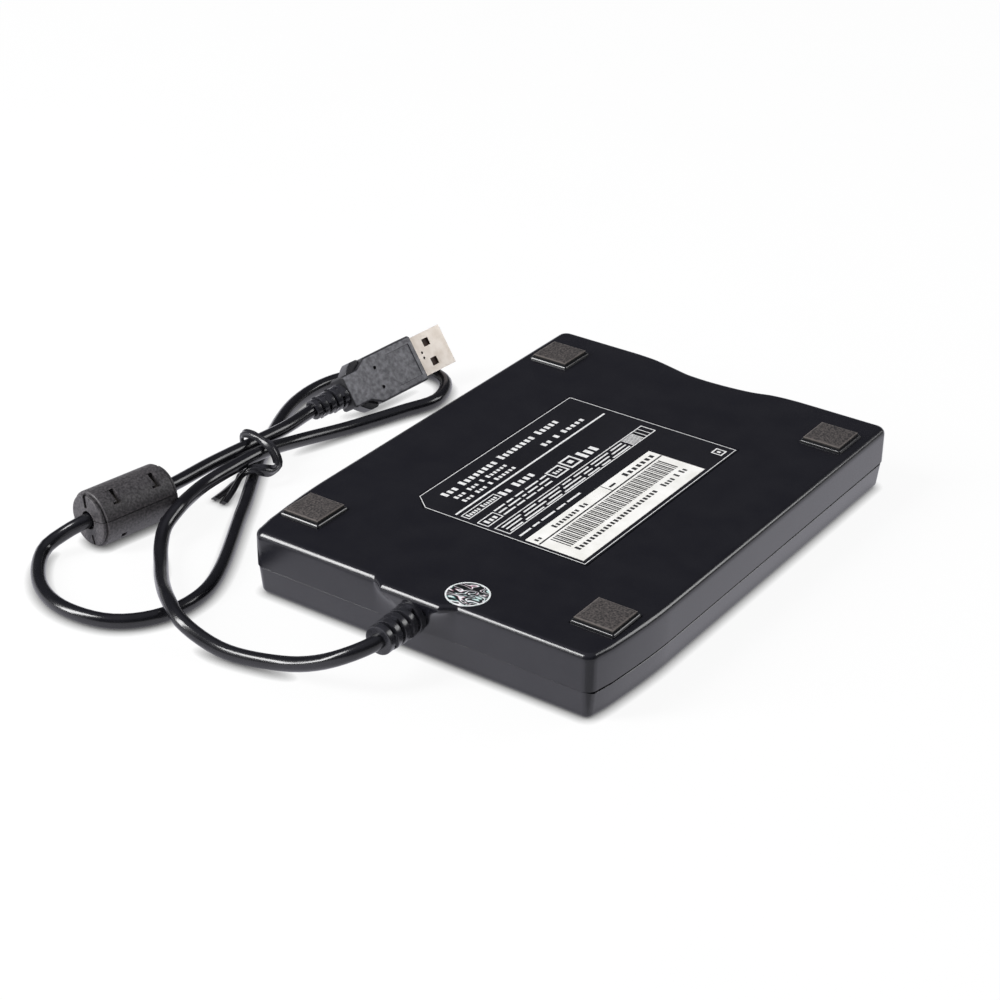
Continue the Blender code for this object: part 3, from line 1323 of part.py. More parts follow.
def stepper_motor(material):
    """The motor that turns the lead screw, bored in front for the screw's journal."""
    profile = (
        (0.9 * MOTOR_RADIUS, MOTOR_FRONT),
        (MOTOR_RADIUS, MOTOR_FRONT + CARRIAGE_THICKNESS / 2),
        (MOTOR_RADIUS, MOTOR_FRONT + MOTOR_LENGTH - CARRIAGE_THICKNESS),
        (0.6 * MOTOR_RADIUS, MOTOR_FRONT + MOTOR_LENGTH - CARRIAGE_THICKNESS),
        (0.6 * MOTOR_RADIUS, MOTOR_FRONT + MOTOR_LENGTH),
    )
    deep = (MOTOR_FRONT - OVERRUN, MOTOR_FRONT + 3 * OVERRUN)
    bore = rod("y", (SCREW_X, SCREW_Z), SCREW_JOURNAL + GAP, deep)
    body = moved(turned(profile, 24), along_y(SCREW_X, SCREW_Z))
    return add_piece("stepper_motor", body, material, cuts=(bore,))


def lead_screw(material):
    """The screw that draws the head carriage: one ridge round a core, with a journal at each end."""
    start = SCREW_FRONT + SHEET + GAP
    end = MOTOR_FRONT - GAP
    steps = math.floor((end - start) / SCREW_PITCH * SCREW_STEPS)
    rings = [ring_y(SCREW_JOURNAL, SCREW_FRONT - GAP), ring_y(SCREW_JOURNAL, start)]
    for step in range(steps + 1):
        y = start + SCREW_PITCH * step / SCREW_STEPS
        points = []
        for side in range(SCREW_SIDES):
            lead = (side - step) % SCREW_SIDES
            radius = SCREW_CREST if lead == 0 and 0 < step < steps else SCREW_CORE
            turn = 2 * math.pi * side / SCREW_SIDES
            points.append((radius * math.cos(turn), y, -radius * math.sin(turn)))
        rings.append(points)
    rings += [ring_y(SCREW_JOURNAL, end), ring_y(SCREW_JOURNAL, MOTOR_FRONT + 2 * OVERRUN)]
    shape = moved(loft(rings), Matrix.Translation((SCREW_X, 0, SCREW_Z)))
    return add_piece("lead_screw", shape, material, axis_point=(SCREW_X, SCREW_FRONT, SCREW_Z))


def ring_y(radius, y):
    """A ring of the lead screw at y."""
    return [(a, y, -b) for a, b in circle(radius, SCREW_SIDES)]


def guide_rail(material, clip_material):
    """The rail that the carriage slides on and the bracket whose two ends hold it."""
    span = (FRONT_CLIP_Y - GAP, REAR_CLIP_Y + CLIP_LENGTH + GAP)
    add_piece("guide_rail", rod("y", (-RAIL_FROM_MIDDLE, RAIL_Z), RAIL_RADIUS, span, 12), material)
    flange_low = CHASSIS_TOP + GAP
    outer = -RAIL_FROM_MIDDLE - BUSH_HALF
    ends = []
    notches = []
    strip = block(
        (outer - CLIP_FLANGE_WIDTH, outer - RUNNING_GAP),
        (FRONT_CLIP_Y, REAR_CLIP_Y + CLIP_LENGTH),
        (flange_low, flange_low + CLIP_FLANGE),
    )
    for (x, _), y in zip(clip_screws(), (FRONT_CLIP_Y, REAR_CLIP_Y)):
        profile = [
            (outer, LOADED_BAY_TOP + GAP),
            (outer + 2 * BUSH_HALF, LOADED_BAY_TOP + GAP),
            (outer + 2 * BUSH_HALF, flange_low + CLIP_FLANGE),
            (outer - CLIP_FLANGE_WIDTH / 2, flange_low + CLIP_FLANGE),
            (outer - CLIP_FLANGE_WIDTH / 2, flange_low),
            (outer, flange_low),
        ]
        ends.append(extruded(profile, "y", (y, y + CLIP_LENGTH)))
        half = RAIL_RADIUS + GAP
        reach = (y - OVERRUN, y + CLIP_LENGTH + OVERRUN)
        notches.append(
            block(
                (-RAIL_FROM_MIDDLE - half, -RAIL_FROM_MIDDLE + half),
                reach,
                (LOADED_BAY_TOP - OVERRUN, RAIL_Z + half),
            )
        )
        place = (x, y + CLIP_LENGTH / 2)
        notches.append(rod("z", place, SCREW_SHANK_RADIUS + GAP, (flange_low - OVERRUN, BOARD_TOP)))
    return add_piece(
        "rail_bracket",
        strip,
        clip_material,
        joins=(together(ends),),
        cuts=(together(notches),),
    )


def head_carriage(material, screw_material, head_material):
    """The carriage on its rail, the follower in the screw's groove, the lower head and the arm's pin."""
    axis_point = (0, ARM_AXIS_Y, ARM_AXIS_Z)
    ears = []
    for side in (-1, 1):
        x = sorted((side * EAR_INNER, side * EAR_OUTER))
        ears.append(block(x, (BLOCK_FRONT, BLOCK_REAR), (ARM_AXIS_Z - ARM_HUB, CARRIAGE_TOP - GAP)))
    bush = block(
        (-RAIL_FROM_MIDDLE - BUSH_HALF, -(EAR_INNER + EAR_OUTER) / 2),
        (BLOCK_FRONT, BLOCK_REAR),
        (RAIL_Z - 2 * RAIL_RADIUS, RAIL_Z + 2 * RAIL_RADIUS),
    )
    base = block((-BASE_HALF, BASE_HALF), (CARRIAGE_FRONT, BLOCK_REAR), (CARRIAGE_LOW, CARRIAGE_TOP))
    pin_bore = rod("x", (ARM_AXIS_Y, ARM_AXIS_Z), ARM_PIN_RADIUS + GAP, (-2 * EAR_OUTER, 2 * EAR_OUTER))
    rail_bore = rod(
        "y", (-RAIL_FROM_MIDDLE, RAIL_Z), RAIL_RADIUS + GAP, (BLOCK_FRONT - OVERRUN, BLOCK_REAR + OVERRUN)
    )
    piece = add_piece("head_carriage", base, material, axis_point=axis_point)
    combine(piece, "UNION", together(ears))
    combine(piece, "UNION", bush)
    combine(piece, "DIFFERENCE", pin_bore)
    combine(piece, "DIFFERENCE", rail_bore)
    y = BLOCK_FRONT + FOLLOWER_INSET
    z = SCREW_Z + SCREW_CORE + GAP + FOLLOWER_RADIUS
    foot = EAR_OUTER + GAP
    plate = block((foot, foot + 2 * GAP), about(y, 2 * FOLLOWER_INSET), about(z, 2 * FOLLOWER_INSET))
    needle = rod("x", (y, z), FOLLOWER_RADIUS, (foot + GAP, SCREW_X + SCREW_CORE), 10)
    follower = add_piece("screw_follower", plate, screw_material, axis_point=axis_point)
    combine(follower, "UNION", needle)
    y = (CARRIAGE_FRONT, CARRIAGE_FRONT + HEAD_LENGTH)
    head = block(about(0, HEAD_WIDTH), y, (BAY_TOP + HEAD_GAP, CARRIAGE_LOW - GAP))
    add_piece("lower_head", head, head_material, axis_point=axis_point)
    pin = rod("x", (ARM_AXIS_Y, ARM_AXIS_Z), ARM_PIN_RADIUS, (-EAR_OUTER, EAR_OUTER), 12)
    add_piece("arm_pin", pin, screw_material, axis_point=axis_point)


def head_arm(material, head_material):
    """The arm that lowers the upper head on to the disk."""
    axis_point = (0, ARM_AXIS_Y, ARM_AXIS_Z)
    front = CARRIAGE_FRONT - ARM_RIM - GAP
    top = ARM_LOW + ARM_SHEET
    web = ARM_HUB * 0.7
    outline = [(front, ARM_LOW), (ARM_AXIS_Y + web, ARM_LOW)]
    outline += arc((ARM_AXIS_Y, ARM_AXIS_Z), ARM_HUB, 0, math.pi, 2 * CORNER_STEPS)
    outline += [(ARM_AXIS_Y - web, top), (front, top)]
    window = block(
        about(0, HEAD_WIDTH + 2 * GAP),
        (CARRIAGE_FRONT - GAP, CARRIAGE_FRONT + HEAD_LENGTH + GAP),
        (ARM_LOW - OVERRUN, top + OVERRUN),
    )
    bore = rod("x", (ARM_AXIS_Y, ARM_AXIS_Z), ARM_PIN_RADIUS + GAP, (-EAR_OUTER, EAR_OUTER))
    arm = extruded(outline, "x", (-ARM_HALF, ARM_HALF))
    piece = add_piece("head_arm", arm, material, axis_point=axis_point)
    combine(piece, "DIFFERENCE", window)
    combine(piece, "DIFFERENCE", bore)
    y = (CARRIAGE_FRONT, CARRIAGE_FRONT + HEAD_LENGTH)
    head = block(about(0, HEAD_WIDTH), y, (ARM_LOW, BAY_LOW - HEAD_GAP))
    add_piece("upper_head", head, head_material, axis_point=axis_point)


def bridge_board(material, chip_material, cable_material, lead_material):
    """The small board by the lead, its chip, the flat cable to the motor board and the inner wires."""
    y = (REAR_Y - SIDE_WALL - BRIDGE_TO_WALL - BRIDGE_DEPTH, REAR_Y - SIDE_WALL - BRIDGE_TO_WALL)
    top = BRIDGE_Z + BOARD_THICKNESS
    board = block((BRIDGE_LEFT, BRIDGE_RIGHT), y, (BRIDGE_Z, top))
    through = (BRIDGE_Z - OVERRUN, top + OVERRUN)
    holes = [rod("z", place, SCREW_SHANK_RADIUS + GAP, through) for place in bridge_screws()]
    add_piece("bridge_board", board, material, cuts=(together(holes),))
    middle = (y[0] + y[1]) / 2
    seat = top + GAP
    chip_x = (CABLE_X + PLUG_BLOCK_X) / 2
    chip = about(chip_x, BRIDGE_CHIP_WIDTH)
    bridge_chip = block(chip, about(middle, CHIP_SIDE), (seat, seat + CHIP_HEIGHT))
    add_piece("bridge_chip", bridge_chip, chip_material)
    crown = BOARD_TOP + GAP
    chip_y = (CHASSIS_FRONT + SPINDLE_Y) / 2
    chip_z = (crown, crown + CHIP_HEIGHT)
    motor_chip = block(about(2 * CHIP_SIDE, CHIP_SIDE), about(chip_y, CHIP_SIDE), chip_z)
    add_piece("motor_chip", motor_chip, chip_material)
    plug_y = y[1] - PLUG_BLOCK_DEPTH
    rise = plug_y
    low = CHASSIS_TOP + GAP + CLIP_FLANGE
    high = low + CABLE_THICKNESS
    rear = SPINDLE_Y + ROTOR_RADIUS
    outline = [
        (rise, seat),
        (rise + CABLE_THICKNESS, seat),
        (rise + CABLE_THICKNESS, low),
        (rise, high),
        (rear, high),
        (rear, low),
        (rise - CABLE_THICKNESS, low),
        (rise, low - CABLE_THICKNESS),
    ]
    x = about(CABLE_X, CABLE_WIDTH)
    add_piece("flat_cable", extruded(outline, "x", x), cable_material)
    start_y = REAR_Y - CORD_INSIDE - GAP
    inner_y = REAR_Y - SIDE_WALL - RELIEF_FLANGE_DEPTH - 2 * GAP
    fall = PLUG_BLOCK_HEIGHT
    bundle = smooth_path(
        (
            Vector((RELIEF_X, start_y, RELIEF_Z)),
            Vector((RELIEF_X, inner_y, RELIEF_Z)),
            Vector((RELIEF_X - fall / 4, inner_y - fall / 2, RELIEF_Z - fall / 8)),
            Vector((RELIEF_X - fall, inner_y - fall, RELIEF_Z - fall)),
            Vector((PLUG_BLOCK_X + fall, plug_y, seat + fall / 2)),
            Vector((PLUG_BLOCK_X, plug_y, seat + INNER_LEAD_RADIUS)),
        ),
        2 * INNER_LEAD_RADIUS,
    )
    add_wire("inner_lead", bundle, INNER_LEAD_RADIUS, lead_material, 1)


def strain_relief(material):
    """The grommet that holds the lead in the case: inner flange, neck and ribs, bored for the lead."""
    wall_in = REAR_Y - SIDE_WALL - GAP
    out = REAR_Y + BOSS_DEPTH + GAP
    profile = [
        (CORD_HOLE, wall_in - RELIEF_FLANGE_DEPTH),
        (RELIEF_FLANGE, wall_in - RELIEF_FLANGE_DEPTH),
        (RELIEF_FLANGE, wall_in),
        (RELIEF_NECK, wall_in),
        (RELIEF_NECK, out),
    ]
    rib = (RELIEF_RIB, RELIEF_GROOVE, RELIEF_GROOVE_DEPTH)
    profile += ribs(out, RELIEF_BIG, RELIEF_SMALL, RELIEF_RIBS, *rib)
    profile.append((CORD_HOLE, profile[-1][1]))
    shape = moved(turned(profile, 16, True), along_y(RELIEF_X, RELIEF_Z))
    return add_piece("strain_relief", shape, material)


def ribs(start, big, small, count, rib, groove, depth):
    """(radius, height) pairs of a ribbed taper from its big end to its small one."""
    pairs = []
    for number in range(count):
        radius = big + (small - big) * number / (count - 1)
        low = start + number * (rib + groove)
        pairs += [(radius, low), (radius, low + rib)]
        if number < count - 1:
            pairs += [(radius - depth, low + rib), (radius - depth, low + rib + groove)]
    return pairs


def plug_frame():
    """The matrix from the plug's own frame (x along its width, y towards its tip, z out of its flat)."""
    sine = math.sin(PLUG_HEADING)
    cosine = math.cos(PLUG_HEADING)
    tip = Vector((sine * math.cos(PLUG_PITCH), -cosine * math.cos(PLUG_PITCH), math.sin(PLUG_PITCH)))
    side = Vector((0, 0, 1)).cross(tip).normalized()
    up = tip.cross(side)
    width = math.cos(PLUG_ROLL) * side + math.sin(PLUG_ROLL) * up
    normal = width.cross(tip)
    turn = Matrix((width, tip, normal)).transposed().to_4x4()
    return Matrix.Translation(PLUG_FRONT) @ turn


def plug_point(along):
    """A point of the plug's axis, a distance in front of its overmould's face."""
    return plug_frame() @ Vector((0, along, 0))


def choke_frame():
    """The matrix from the choke's own frame, whose y runs along the choke."""
    across = CHOKE_AXIS.cross(Vector((0, 0, 1))).normalized()
    turn = Matrix((across, CHOKE_AXIS, Vector((0, 0, 1)))).transposed().to_4x4()
    return Matrix.Translation(CHOKE_MIDDLE) @ turn


def cord_route():
    """The lead's route, from inside the case through its relief and the choke into the plug."""
    reach = CHOKE_LENGTH / 2
    frame = choke_frame()
    through = [frame @ Vector((0, share * reach, 0)) for share in (1.14, 0.9, 0, -1.1)]
    return [
        Vector((RELIEF_X, REAR_Y - CORD_INSIDE, RELIEF_Z)),
        Vector((RELIEF_X, REAR_Y, RELIEF_Z)),
        Vector((RELIEF_X, RELIEF_END_Y - RELIEF_BIG, RELIEF_Z)),
        Vector((RELIEF_X, RELIEF_END_Y + RELIEF_RIB, RELIEF_Z)),
        *[Vector(point) * MM for point in CORD_ROUTE_MM],
        *through,
        *[Vector(point) * MM for point in CORD_AFTER_CHOKE_MM],
        plug_point(-PLUG_LENGTH - PLUG_RELIEF_LENGTH),
        plug_point(-PLUG_LENGTH),
        plug_point(-PLUG_CORD_INSET),
    ]


def choke(material, core_material):
    """The choke's two half shells and the ferrite core between them."""
    frame = choke_frame()
    end = CHOKE_LENGTH / 2
    hollow = (
        (CHOKE_HOLE, -end - OVERRUN),
        (CHOKE_HOLE, CHOKE_WALL - end),
        (CHOKE_RADIUS - CHOKE_WALL, CHOKE_WALL - end),
        (CHOKE_RADIUS - CHOKE_WALL, end - CHOKE_WALL),
        (CHOKE_HOLE, end - CHOKE_WALL),
        (CHOKE_HOLE, end + OVERRUN),
    )
    for name, side in (("choke_upper_half", 1), ("choke_lower_half", -1)):
        rings = []
        for y, radius in (
            (-end, CHOKE_RADIUS - CHOKE_CHAMFER),
            (CHOKE_CHAMFER - end, CHOKE_RADIUS),
            (end - CHOKE_CHAMFER, CHOKE_RADIUS),
            (end, CHOKE_RADIUS - CHOKE_CHAMFER),
        ):
            outline = arc((0, GAP / 2), radius, 0, math.pi, 12)
            rings.append([(a, y, side * b) for a, b in outline])
        inside = moved(moved(turned(hollow, 24), along_y(0, 0)), frame)
        add_piece(name, moved(loft(rings), frame), material, cuts=(inside,))
    half = end - CHOKE_WALL - GAP
    outer = CHOKE_RADIUS - CHOKE_WALL - GAP
    core = ((CHOKE_CORE_BORE, -half), (outer, -half), (outer, half), (CHOKE_CORE_BORE, half))
    add_piece("ferrite_core", moved(moved(turned(core, 24, True), along_y(0, 0)), frame), core_material)


def plug(body_material, metal, plastic):
    """The plug: overmould with its ribbed relief, metal shell, and tongue with its contacts."""
    frame = plug_frame()
    half = PLUG_THICKNESS / 2
    bevel = PLUG_BEVEL
    sections = []
    for along, wide, thick in (
        (0, PLUG_HALF - bevel, half - bevel),
        (-bevel, PLUG_HALF, half),
        (-PLUG_STRAIGHT, PLUG_HALF, half),
        (-PLUG_LENGTH + bevel, PLUG_REAR_HALF, half),
        (-PLUG_LENGTH, PLUG_REAR_HALF - bevel, half - bevel),
    ):
        sections.append(chamfered(wide, thick, bevel, along))
    relief = [(PLUG_REAR_HALF * 0.6, PLUG_LENGTH - bevel)]
    rib = PLUG_RELIEF_LENGTH / (PLUG_RIBS * 1.6)
    deep = PLUG_RELIEF_SMALL - CORD_HOLE - GAP
    relief += ribs(PLUG_LENGTH, PLUG_RELIEF_BIG, PLUG_RELIEF_SMALL, PLUG_RIBS, rib, rib * 0.6, deep)
    backwards = frame @ Matrix.Rotation(math.pi / 2, 4, "X")
    bore = moved(rod("z", (0, 0), CORD_HOLE, (PLUG_CORD_INSET - GAP, 2 * PLUG_LENGTH), 12), backwards)
    socket = block(
        about(0, SHELL_WIDTH + 2 * GAP),
        (-SHELL_ROOT - GAP, OVERRUN),
        about(0, SHELL_HEIGHT + 2 * GAP),
    )
    grips = []
    for side in (-1, 1):
        z = sorted((side * (half - PLUG_GRIP_DEPTH), side * (half + OVERRUN)))
        grips.append(
            block(about(0, 2 * (PLUG_HALF - 2 * bevel)), (-PLUG_STRAIGHT / 2, -2 * bevel), z)
        )
    piece = add_piece("plug_overmould", moved(loft(sections), frame), body_material)
    combine(piece, "UNION", moved(turned(relief, 16), backwards))
    combine(piece, "DIFFERENCE", moved(together(grips), frame))
    combine(piece, "DIFFERENCE", moved(socket, frame))
    combine(piece, "DIFFERENCE", bore)
    span = (-SHELL_ROOT, SHELL_REACH)
    shell = block(about(0, SHELL_WIDTH), span, about(0, SHELL_HEIGHT))
    hollow = block(
        about(0, SHELL_WIDTH - 2 * SHELL_SHEET),
        (-SHELL_ROOT - OVERRUN, SHELL_REACH + OVERRUN),
        about(0, SHELL_HEIGHT - 2 * SHELL_SHEET),
    )
    windows = []
    for side in (-1, 1):
        windows.append(
            block(
                about(side * SHELL_WINDOW_OUT, SHELL_WINDOW),
                about(SHELL_WINDOW_FROM_ROOT, SHELL_WINDOW),
                (-SHELL_HEIGHT, SHELL_HEIGHT),
            )
        )
    cuts = (moved(hollow, frame), moved(together(windows), frame))
    add_piece("plug_shell", moved(shell, frame), metal, cuts=cuts)
    inner = SHELL_HEIGHT / 2 - SHELL_SHEET
    tongue_z = (GAP - inner, GAP - inner + TONGUE_PLATE)
    tongue_end = SHELL_REACH - SHELL_SHEET
    tongue = block(about(0, SHELL_WIDTH - 2 * SHELL_SHEET - 2 * GAP), (-SHELL_ROOT, tongue_end), tongue_z)
    contacts = []
    for number in range(CONTACT_COUNT):
        x = (number - (CONTACT_COUNT - 1) / 2) * CONTACT_PITCH
        contacts.append(
            block(
                about(x, CONTACT_WIDTH),
                (tongue_end - SHELL_SHEET - CONTACT_LENGTH, tongue_end - SHELL_SHEET),
                (tongue_z[1] - CONTACT_SHEET, tongue_z[1] + CONTACT_SHEET),
            )
        )
    add_piece("plug_tongue", moved(tongue, frame), plastic, joins=(moved(together(contacts), frame),))


def chamfered(wide, thick, bevel, along):
    """A rectangle's outline in the plug's frame, its corners cut by a bevel."""
    corners = [
        (wide, thick - bevel),
        (wide - bevel, thick),
        (bevel - wide, thick),
        (-wide, thick - bevel),
        (-wide, bevel - thick),
        (bevel - wide, -thick),
        (wide - bevel, -thick),
        (wide, bevel - thick),
    ]
    return [(a, along, b) for a, b in corners]


def lead(material, tie_material):
    """The lead and the wire tie round its crossing, and the least gap between them."""
    route = smooth_path(cord_route(), CORD_SPACING)
    tie = smooth_path([Vector(point) * MM for point in TIE_ROUTE_MM], TIE_SPACING)
    add_wire("lead", route, CORD_RADIUS, material, 2)
    add_wire("lead_tie", tie, TIE_RADIUS, tie_material, 1)
    length = sum((end - start).length for start, end in zip(route, route[1:]))
    print(f"lead length {length / MM:.1f} mm, {len(route)} points")
    for name, one, other, radii in (
        ("tie to lead", tie, route, TIE_RADIUS + CORD_RADIUS),
        ("tie to tie", tie, tie, 2 * TIE_RADIUS),
        ("lead to lead", route, route, 2 * CORD_RADIUS),
    ):
        gap, place = least_gap(one, other, radii, one is other)
        print(f"least gap, {name}: {gap / MM:.2f} mm, at {place.x:.1f}, {place.y:.1f}, {place.z:.1f}")


def least_gap(one, other, radii, same):
    """The least distance between two paths' surfaces, neighbours on one path left out, and its place."""
    fine = [a.lerp(b, step / 8) for a, b in zip(one, one[1:]) for step in range(8)]
    dense = [a.lerp(b, step / 8) for a, b in zip(other, other[1:]) for step in range(8)]
    step_length = (fine[8] - fine[0]).length / 8
    apart = math.ceil(3 * radii / step_length)
    best = None
    for here, a in enumerate(fine):
        for there, b in enumerate(dense):
            if same and abs(here - there) < apart:
                continue
            gap = (a - b).length - radii
            if best is None or gap < best[0]:
                best = (gap, a / MM)
    return best


def clear_scene():
    """Removes every object that the scene starts with."""
    for old in list(bpy.data.objects):
        bpy.data.objects.remove(old, do_unlink=True)


def build():
    """Makes every sub-part."""
    clear_scene()
    shell = finish("moulded_black", (0.02, 0.02, 0.023), 0.45)
    steel = finish("zinc_plated_steel", (0.62, 0.63, 0.62), 0.35, 1.0)
    bright = finish("polished_steel", (0.72, 0.72, 0.72), 0.2, 1.0)
    spring = finish("spring_steel", (0.5, 0.5, 0.52), 0.3, 1.0)
    trim = finish("satin_black", (0.03, 0.03, 0.033), 0.5)
    grey = finish("grey_plastic", (0.12, 0.12, 0.125), 0.55)
    white = finish("white_acetal", (0.75, 0.74, 0.7), 0.5)
    foam = finish("foam_rubber", (0.15, 0.13, 0.115), 0.9)
    black_label = finish("black_label", (0.015, 0.015, 0.016), 0.4)
    pale_label = finish("pale_label", (0.8, 0.8, 0.78), 0.5)
    seal = finish("seal_paper", (0.6, 0.6, 0.6), 0.5)
    clear = finish("clear_acrylic", (0.75, 0.8, 0.75), 0.15)
    lamp = finish("light_body", (0.35, 0.6, 0.3), 0.3)
    board = finish("circuit_board", (0.03, 0.16, 0.07), 0.5)
    chip = finish("chip_plastic", (0.025, 0.025, 0.028), 0.6)
    copper = finish("copper_wire", (0.6, 0.28, 0.12), 0.35, 0.8)
    bronze = finish("sintered_bronze", (0.55, 0.4, 0.2), 0.45, 1.0)
    film = finish("flat_cable_film", (0.7, 0.7, 0.68), 0.45)
    wire = finish("lead_insulation", (0.35, 0.05, 0.04), 0.5)
    ceramic = finish("head_ceramic", (0.3, 0.29, 0.27), 0.3)
    cast = finish("cast_aluminium", (0.5, 0.5, 0.5), 0.45, 0.9)
    vinyl = finish("vinyl_black", (0.018, 0.018, 0.02), 0.35)
    ferrite = finish("ferrite", (0.05, 0.045, 0.045), 0.7)

    bottom_shell(shell)
    top_cover(shell)
    front_bezel(trim)
    case_screws(steel)
    for name, x, y in foot_places():
        foot_pad(name, x, y, foam)
    stickers(black_label, pale_label, seal)
    light(clear, lamp)
    chassis(steel)
    shield(steel)
    slot_door(trim)
    eject_slide(bright, grey, spring)
    cradle(steel)
    shutter_lever(bright)
    spindle(bright, bright, bronze)
    stator(copper)
    motor_board(board)
    sensor_switches(chip, white)
    stepper_motor(steel)
    lead_screw(bright)
    guide_rail(bright, steel)
    head_carriage(cast, bright, ceramic)
    head_arm(cast, ceramic)
    bridge_board(board, chip, film, wire)
    strain_relief(vinyl)
    choke(trim, ferrite)
    plug(grey, bright, white)
    lead(vinyl, vinyl)


build()
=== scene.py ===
"""Looks of a slim external floppy disk drive that lies on its cover, with its lead looped beside it."""
import math

import bmesh
import bpy
from mathutils import Matrix, Vector

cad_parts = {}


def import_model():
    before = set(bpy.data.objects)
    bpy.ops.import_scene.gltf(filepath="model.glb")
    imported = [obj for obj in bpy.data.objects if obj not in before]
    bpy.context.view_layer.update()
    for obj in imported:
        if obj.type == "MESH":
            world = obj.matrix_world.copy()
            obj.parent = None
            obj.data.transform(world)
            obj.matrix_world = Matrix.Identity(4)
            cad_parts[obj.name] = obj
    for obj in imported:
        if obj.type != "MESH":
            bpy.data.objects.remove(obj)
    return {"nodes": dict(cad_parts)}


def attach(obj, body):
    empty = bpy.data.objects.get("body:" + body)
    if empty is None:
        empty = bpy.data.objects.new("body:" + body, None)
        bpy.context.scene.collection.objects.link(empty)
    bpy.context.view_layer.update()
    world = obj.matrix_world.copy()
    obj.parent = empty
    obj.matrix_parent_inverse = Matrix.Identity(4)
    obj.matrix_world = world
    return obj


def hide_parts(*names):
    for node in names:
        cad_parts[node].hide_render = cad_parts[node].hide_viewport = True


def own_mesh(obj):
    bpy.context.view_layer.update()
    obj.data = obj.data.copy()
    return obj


MM = 0.001


def mm(*values):
    """Values in millimetres as metres."""
    return tuple(value * MM for value in values)


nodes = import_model()["nodes"]
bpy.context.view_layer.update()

# Sizes, in metres. FLANK_SPREAD is how far the boss's flank widens as the boss draws in.
HALF_WIDTH = 52.0 * MM
FRONT_Y = -71.6 * MM
REAR_Y = 70.4 * MM
BOSS_DEPTH = 2.2 * MM
BOSS_FOOT = 0.9 * MM
BOSS_START = 12.3 * MM
BOSS_FLANK = 4.2 * MM
FLANK_SPREAD = 6.0
HEIGHT = 17.8 * MM
SEAM = 7.3 * MM
GAP = 0.3 * MM
SEAM_GAP = 0.62 * MM
REAR_RIM_RISE = 0.52 * MM
WALL = 1.8 * MM
FLOOR_WALL = 1.5 * MM
BEZEL_HALF = 47.2 * MM
BEZEL_BACK = -65.5 * MM
EDGE_ROUND = 1.7 * MM
CORNER = 3.0 * MM
TAPER = 2.4 * MM
TAPER_LENGTH = 30.0 * MM
SCOOP_HALF = 26.0 * MM
SCOOP_DEPTH = 3.6 * MM
SCOOP_SHARES = (
    (-1.0, 0.0), (-0.83, 0.07), (-0.73, 0.16), (-0.64, 0.29), (-0.56, 0.48), (-0.47, 0.66),
    (-0.37, 0.78), (-0.2, 0.92), (0.0, 1.0), (0.1, 1.0), (0.2, 0.97), (0.31, 0.9), (0.44, 0.68),
    (0.56, 0.46), (0.69, 0.24), (0.8, 0.1), (1.0, 0.0),
)
CORNERS = {"front_left": (1, 0), "front_right": (-1, 0), "rear_left": (1, 1), "rear_right": (-1, 1)}
FOOT_X = 42.8 * MM
FOOT_Y = (-55.6 * MM, 54.4 * MM)
FOOT_HALF = 5.3 * MM
FOOT_LOW = 0.2 * MM
FOOT_TOP = 1.6 * MM
FOOT_FILM_HALF = 6.05 * MM
FOOT_POCKET_HALF = 6.2 * MM
SCREW_HOLE_RADIUS = 2.3 * MM
LABEL_SIDES = (-26.1 * MM, 26.6 * MM, -36.2 * MM, 36.8 * MM)
LABEL_CUT = 4.5 * MM
LABEL_THICK = 0.15 * MM
POCKET_DEPTH = 0.45 * MM
SEAL_MIDDLE = (-10.8 * MM, 64.0 * MM)
SEAL_RADIUS = 5.0 * MM
SEAL_RIM_RADIUS = 5.4 * MM
SEAL_POCKET_RADIUS = 5.6 * MM
RELIEF_X = -0.6 * MM
RELIEF_Z = 12.0 * MM
RELIEF_OUT = 72.1 * MM
RELIEF_LENGTH = 12.9 * MM
RELIEF_RINGS = 5
RELIEF_HOLE_RADIUS = 3.2 * MM
CORD_RADIUS = 1.9 * MM
CORD_HOLE_RADIUS = CORD_RADIUS + 0.02 * MM
TIE_CORE = 0.6 * MM
TIE_HALF = 1.25 * MM

# The lead's route, in millimetres
LEAD_START_MM = ((-0.6, 69.5, 12.0), (-0.6, 70.4, 12.0), (-0.6, 80.8, 12.0), (-0.6, 86.7, 12.0))
LEAD_MM = (
    (3.8, 92.2, 9.9), (11.1, 94.3, 6.3), (20.3, 95.3, 3.3), (36.2, 97.7, 2.2), (48.4, 97.8, 5.4),
    (56.7, 93.5, 6.6), (65.9, 85.7, 4.8), (74.0, 77.3, 3.4), (79.2, 71.5, 3.8), (83.0, 65.5, 5.4),
    (84.4, 58.6, 7.2), (86.4, 52.0, 6.9), (88.3, 43.9, 6.4), (88.1, 32.6, 6.7), (87.6, 20.9, 6.5),
    (87.3, 7.4, 4.0), (83.2, -10.2, 2.0), (77.2, -27.3, 2.0), (73.6, -39.0, 2.0), (78.7, -50.0, 2.0),
    (87.4, -52.2, 2.0), (97.5, -43.5, 2.0), (105.0, -31.6, 2.0), (105.3, -14.3, 2.0), (92.2, 16.4, 2.0),
    (75.9, 44.0, 2.0), (57.5, 79.3, 2.0), (58.5, 94.0, 2.0), (66.5, 103.3, 2.0), (81.1, 105.5, 2.0),
    (93.8, 100.1, 2.0), (103.0, 88.6, 3.0), (101.6, 83.0, 5.2),
)
AFTER_CHOKE_MM = ((93.8, 34.5, 7.0), (92.6, 18.4, 6.7), (91.7, 7.1, 6.6))
